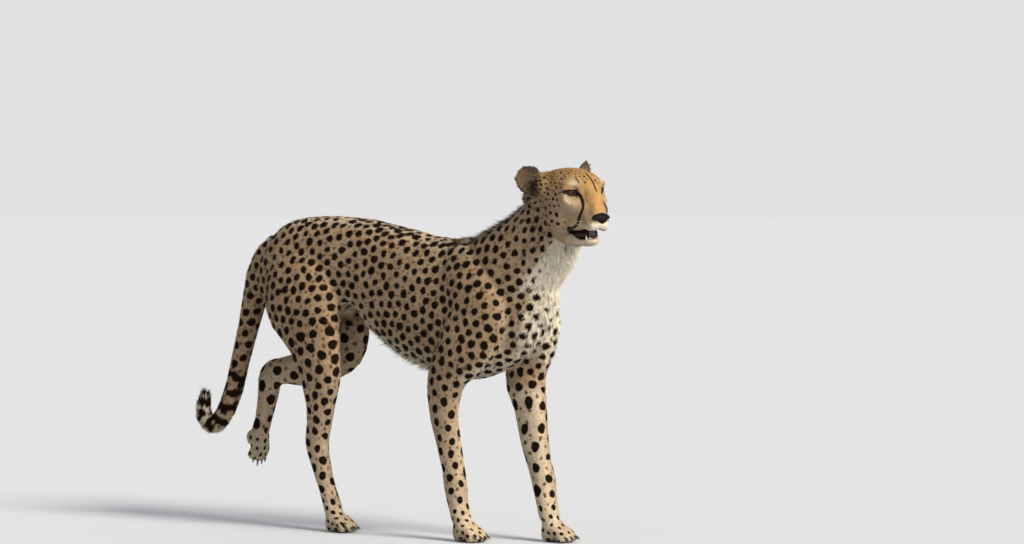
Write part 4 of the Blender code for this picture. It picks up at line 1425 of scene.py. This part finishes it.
def bent(start, heading, droop, length, steps):
    """Points along a rod that leaves `start` and bends as it goes."""
    heading, place, out = Vector(heading).normalized(), Vector(start), [Vector(start)]
    for _ in range(steps):
        heading = (heading + Vector(droop) / steps).normalized()
        place = place + heading * (length / steps)
        out.append(place.copy())
    return out


def tapered(bm, sides, radii, start, heading, droop, length):
    """Adds a rod with one circle for each radius."""
    line = bent(start, heading, droop, length, len(radii) - 1)
    rings = []
    for i, (place, radius) in enumerate(zip(line, radii)):
        ahead = (line[min(i + 1, len(line) - 1)] - line[max(i - 1, 0)]).normalized()
        turned = Matrix.Translation(place) @ ahead.to_track_quat("Z", "Y").to_matrix().to_4x4()
        ring = bmesh.ops.create_circle(bm, segments=sides, radius=radius, matrix=turned)["verts"]
        rings.append(list({edge for vert in ring for edge in vert.link_edges}))
    for first, second in zip(rings, rings[1:]):
        bmesh.ops.bridge_loops(bm, edges=first + second)
    for end in (rings[0], rings[-1]):
        bmesh.ops.contextual_create(bm, geom=end)


def finish(name, bm, material, place=HEAD):
    """Puts a piece in its place and dresses it."""
    bmesh.ops.transform(bm, matrix=place, verts=bm.verts)
    bmesh.ops.recalc_face_normals(bm, faces=bm.faces)
    made = add_object(name, mesh_of(name, bm))
    made.data.shade_smooth()
    made.data.materials.append(material)
    print(name, "of", len(made.data.polygons), "faces")


# %% teeth
CANINE = (0.0030, 0.0030, 0.0027, 0.0021, 0.0013, 0.0003)  # radii from root to tip
INCISOR = (0.0016, 0.0017, 0.0014, 0.0006)
INCISOR_APART = 0.0040
enamel = mottled(
    "tooth", 0.22, (0.78, 0.72, 0.60), 80, 2, (0.82, 0.77, 0.66), (0.62, 0.52, 0.36), Coat_Weight=0.4
)
teeth = bmesh.new()
for side in (LEFT, RIGHT):
    tapered(teeth, 10, CANINE, (0.017, 0.0150 * side, -0.1150), (0.15, 0.12 * side, 1), (-0.5, 0, 0), 0.0135)
    for number in range(3):
        at = (0.0235 - number * 0.0008, (0.0022 + number * INCISOR_APART) * side, -0.1120)
        tapered(teeth, 8, INCISOR, at, (0.1, 0, 1), (0, 0, 0), 0.0050)
finish("lower_teeth", teeth, enamel)

# %% lining of the mouth and tongue
lining_skin = mottled(
    "mouth_lining", 0.55, (0.02, 0.008, 0.008), 140, 3, (0.010, 0.005, 0.005), (0.035, 0.012, 0.012),
    Specular_IOR_Level=0.2,
)
lining = bmesh.new()
bmesh.ops.create_uvsphere(lining, u_segments=40, v_segments=24, radius=1)
for vert in lining.verts:
    x, y, z = vert.co
    vert.co = (x * 0.035, y * (0.0290 - 0.0110 * x), z * 0.0140)  # narrower in front
bmesh.ops.translate(lining, verts=lining.verts, vec=(-0.006, 0, -0.1000))
finish("mouth_lining", lining, lining_skin)

tongue_skin = mottled(
    "tongue", 0.5, (0.14, 0.04, 0.04), 260, 3, (0.075, 0.020, 0.018), (0.15, 0.045, 0.040),
    Specular_IOR_Level=0.3,
)
tongue = bmesh.new()
bmesh.ops.create_uvsphere(tongue, u_segments=32, v_segments=20, radius=1)
for vert in tongue.verts:
    x, y, z = vert.co
    groove = 0.002 * math.exp(-((y / 0.25) ** 2)) * (z > 0)
    vert.co = (x * 0.022, y * 0.0125, z * 0.0040 - groove)
bmesh.ops.translate(tongue, verts=tongue.verts, vec=(0.008, 0, -0.1085))
finish("tongue", tongue, tongue_skin)

# %% [markdown]
# ## Claws
# A cheetah's claws are blunt and never fully drawn in, so they show on every foot.

# %% claws
DRAWN_HEAD = Vector((0.593, -0.070, 0.844))  # where the head was when the feet were set out
SHIFT = Matrix.Translation(HEAD_AT - DRAWN_HEAD)
HIND_SIZE = 0.95
# name: (place, degrees, about which axis, size)
FEET_STAND = {
    "forepaw_right": ((0.220, -0.044, 0), -2, "Z", 1.0),
    "forepaw_left": ((0.396, 0.076, 0), 3, "Z", 1.0),
    "hindpaw_right": ((-0.192, -0.020, 0), 0, "Z", HIND_SIZE),
    "hindpaw_left": ((-0.533, 0.061, 0.205), 70, "Y", HIND_SIZE),
}
TOES, CLAWS_APART = (-1.5, -0.5, 0.5, 1.5), 0.0155 * 1.08
CLAW = (0.0032, 0.0034, 0.0031, 0.0025, 0.0017, 0.0006)
horn = mottled(
    "claw", 0.32, (0.06, 0.045, 0.035), 150, 3, (0.035, 0.026, 0.020), (0.13, 0.095, 0.065), Coat_Weight=0.2
)
for name, (place, degrees, axis, size) in FEET_STAND.items():
    nails = bmesh.new()
    for toe in TOES:
        start = (-0.006 * (abs(toe) - 0.5) + 0.0470, toe * CLAWS_APART, 0.0150)
        tapered(nails, 8, CLAW, start, (1, 0, 0.05), (0, 0, -0.75), 0.0215)
    foot = Matrix.Translation(place) @ Matrix.Rotation(math.radians(degrees), 4, axis) @ Matrix.Scale(size, 4)
    finish("claws_" + name, nails, horn, SHIFT @ foot)

# %% [markdown]
# ## Whiskers
# The whiskers are stiff white bristles in rows on each side of the muzzle, sweeping back and down.

# %% whiskers
THIN, STOUT = np.linspace(0.00014, 0.00005, 7), np.linspace(0.00022, 0.00007, 7)  # radii to the tip
IN_FRONT = 3  # the few that hang in front
bristle = mottled("whisker", 0.4, (0.85, 0.82, 0.76), 60, 1, (0.86, 0.83, 0.78), (0.70, 0.64, 0.55))
bristles = bmesh.new()
for side in (LEFT, RIGHT):
    for number, (x, y, z) in enumerate(WHISKERS):
        row, column = divmod(number, 4)
        heading = (-0.25 - column * 0.25, 0.9 * side, 0.05 - 0.12 * row)
        long = 0.022 + 0.005 * column + chance.uniform(-0.004, 0.004)
        tapered(bristles, 4, THIN, (x, y * side, z), heading, (-0.90, -0.45 * side, -0.30), long)
    for column in range(IN_FRONT):
        start = (0.056 - column * 0.005, (0.018 + column * 0.0025) * side, -0.078)
        tapered(bristles, 4, STOUT, start, (0.4, 0.5 * side, -0.9), (0.2, 0, -0.9), 0.030)
finish("whiskers", bristles, bristle)

# %% [markdown]
# ## Floor, light and camera
# The animal stands on a plain pale floor under a broad soft light from above and ahead of it, with a
# weaker one low in front, as light comes back from the ground, and one from behind. The camera
# stands low and far off, as a long lens does.

# %% floor
FLOOR_RADIUS = 60
disc = bmesh.new()
bmesh.ops.create_circle(disc, cap_ends=True, segments=96, radius=FLOOR_RADIUS)
floor = show("floor", mesh_of("floor", disc))
floor.data.materials.append(mottled(
    "floor", 0.9, (0.60, 0.61, 0.65), 3, 2, (0.596, 0.621, 0.670), (0.614, 0.639, 0.686), Specular_IOR_Level=0.0
))
print("floor", FLOOR_RADIUS * 2, "m across")

# %% light
DAYLIGHT, BACKGROUND = (0.93, 0.94, 0.95), (0.76, 0.76, 0.76, 1)
SKY_LIGHT = 0.40
world = bpy.data.worlds.new("studio")
world.use_nodes = True
tree = world.node_tree
sky = tree.nodes["Background"].inputs
sky["Strength"].default_value = 1.0
seen = tree.nodes.new("ShaderNodeLightPath").outputs["Is Camera Ray"]
link(tree, mixed(tree, seen, (*(c * SKY_LIGHT for c in DAYLIGHT), 1), BACKGROUND), sky["Color"])
bpy.context.scene.world = world
bpy.context.scene.view_settings.view_transform = "Standard"
# name: (direction it comes from, strength, softness in degrees, colour)
LIGHTS = {
    "key": ((0.80, -0.18, 0.57), 4.35, 22, (1.0, 0.93, 0.82)),
    "reflector": ((0.96, -0.14, 0.05), 1.1, 60, (1.0, 0.86, 0.68)),
    "fill": ((-0.55, 0.45, 0.45), 0.5, 60, (0.88, 0.94, 1.0)),
}
for name, (heading, strength, softness, colour) in LIGHTS.items():
    light = bpy.data.lights.new(name, "SUN")
    light.energy, light.angle, light.color = strength, math.radians(softness), colour
    lamp = show(name, light)
    lamp.location = Vector(heading) * 5
    lamp.rotation_euler = (-Vector(heading)).to_track_quat("-Z", "Y").to_euler()
print("lights:", {name: light[1] for name, light in LIGHTS.items()})

# %% camera
SEEN_FROM, SEEN_ABOVE, DISTANCE = math.radians(36.0), math.radians(1.5), 10.0
PER_METRE, WIDE, SENSOR = 410.0, 1024, 36
AHEAD_OF_MIDDLE, AIM_HEIGHT = 0.2662, 0.6439
towards = Vector((math.sin(SEEN_FROM) * math.cos(SEEN_ABOVE), -math.cos(SEEN_FROM) * math.cos(SEEN_ABOVE), 0))
towards.z = math.sin(SEEN_ABOVE)
across = Vector((math.cos(SEEN_FROM), math.sin(SEEN_FROM), 0))
camera = show("camera", bpy.data.cameras.new("camera"))
camera.location = across * AHEAD_OF_MIDDLE + Vector((0, 0, AIM_HEIGHT)) + towards * DISTANCE
camera.rotation_euler = (-towards).to_track_quat("-Z", "Y").to_euler()
camera.data.sensor_width = SENSOR
camera.data.lens = PER_METRE * DISTANCE / WIDE * SENSOR
bpy.context.scene.camera = camera
print("lens", round(camera.data.lens, 2), "mm, camera at", [round(a, 3) for a in camera.location])
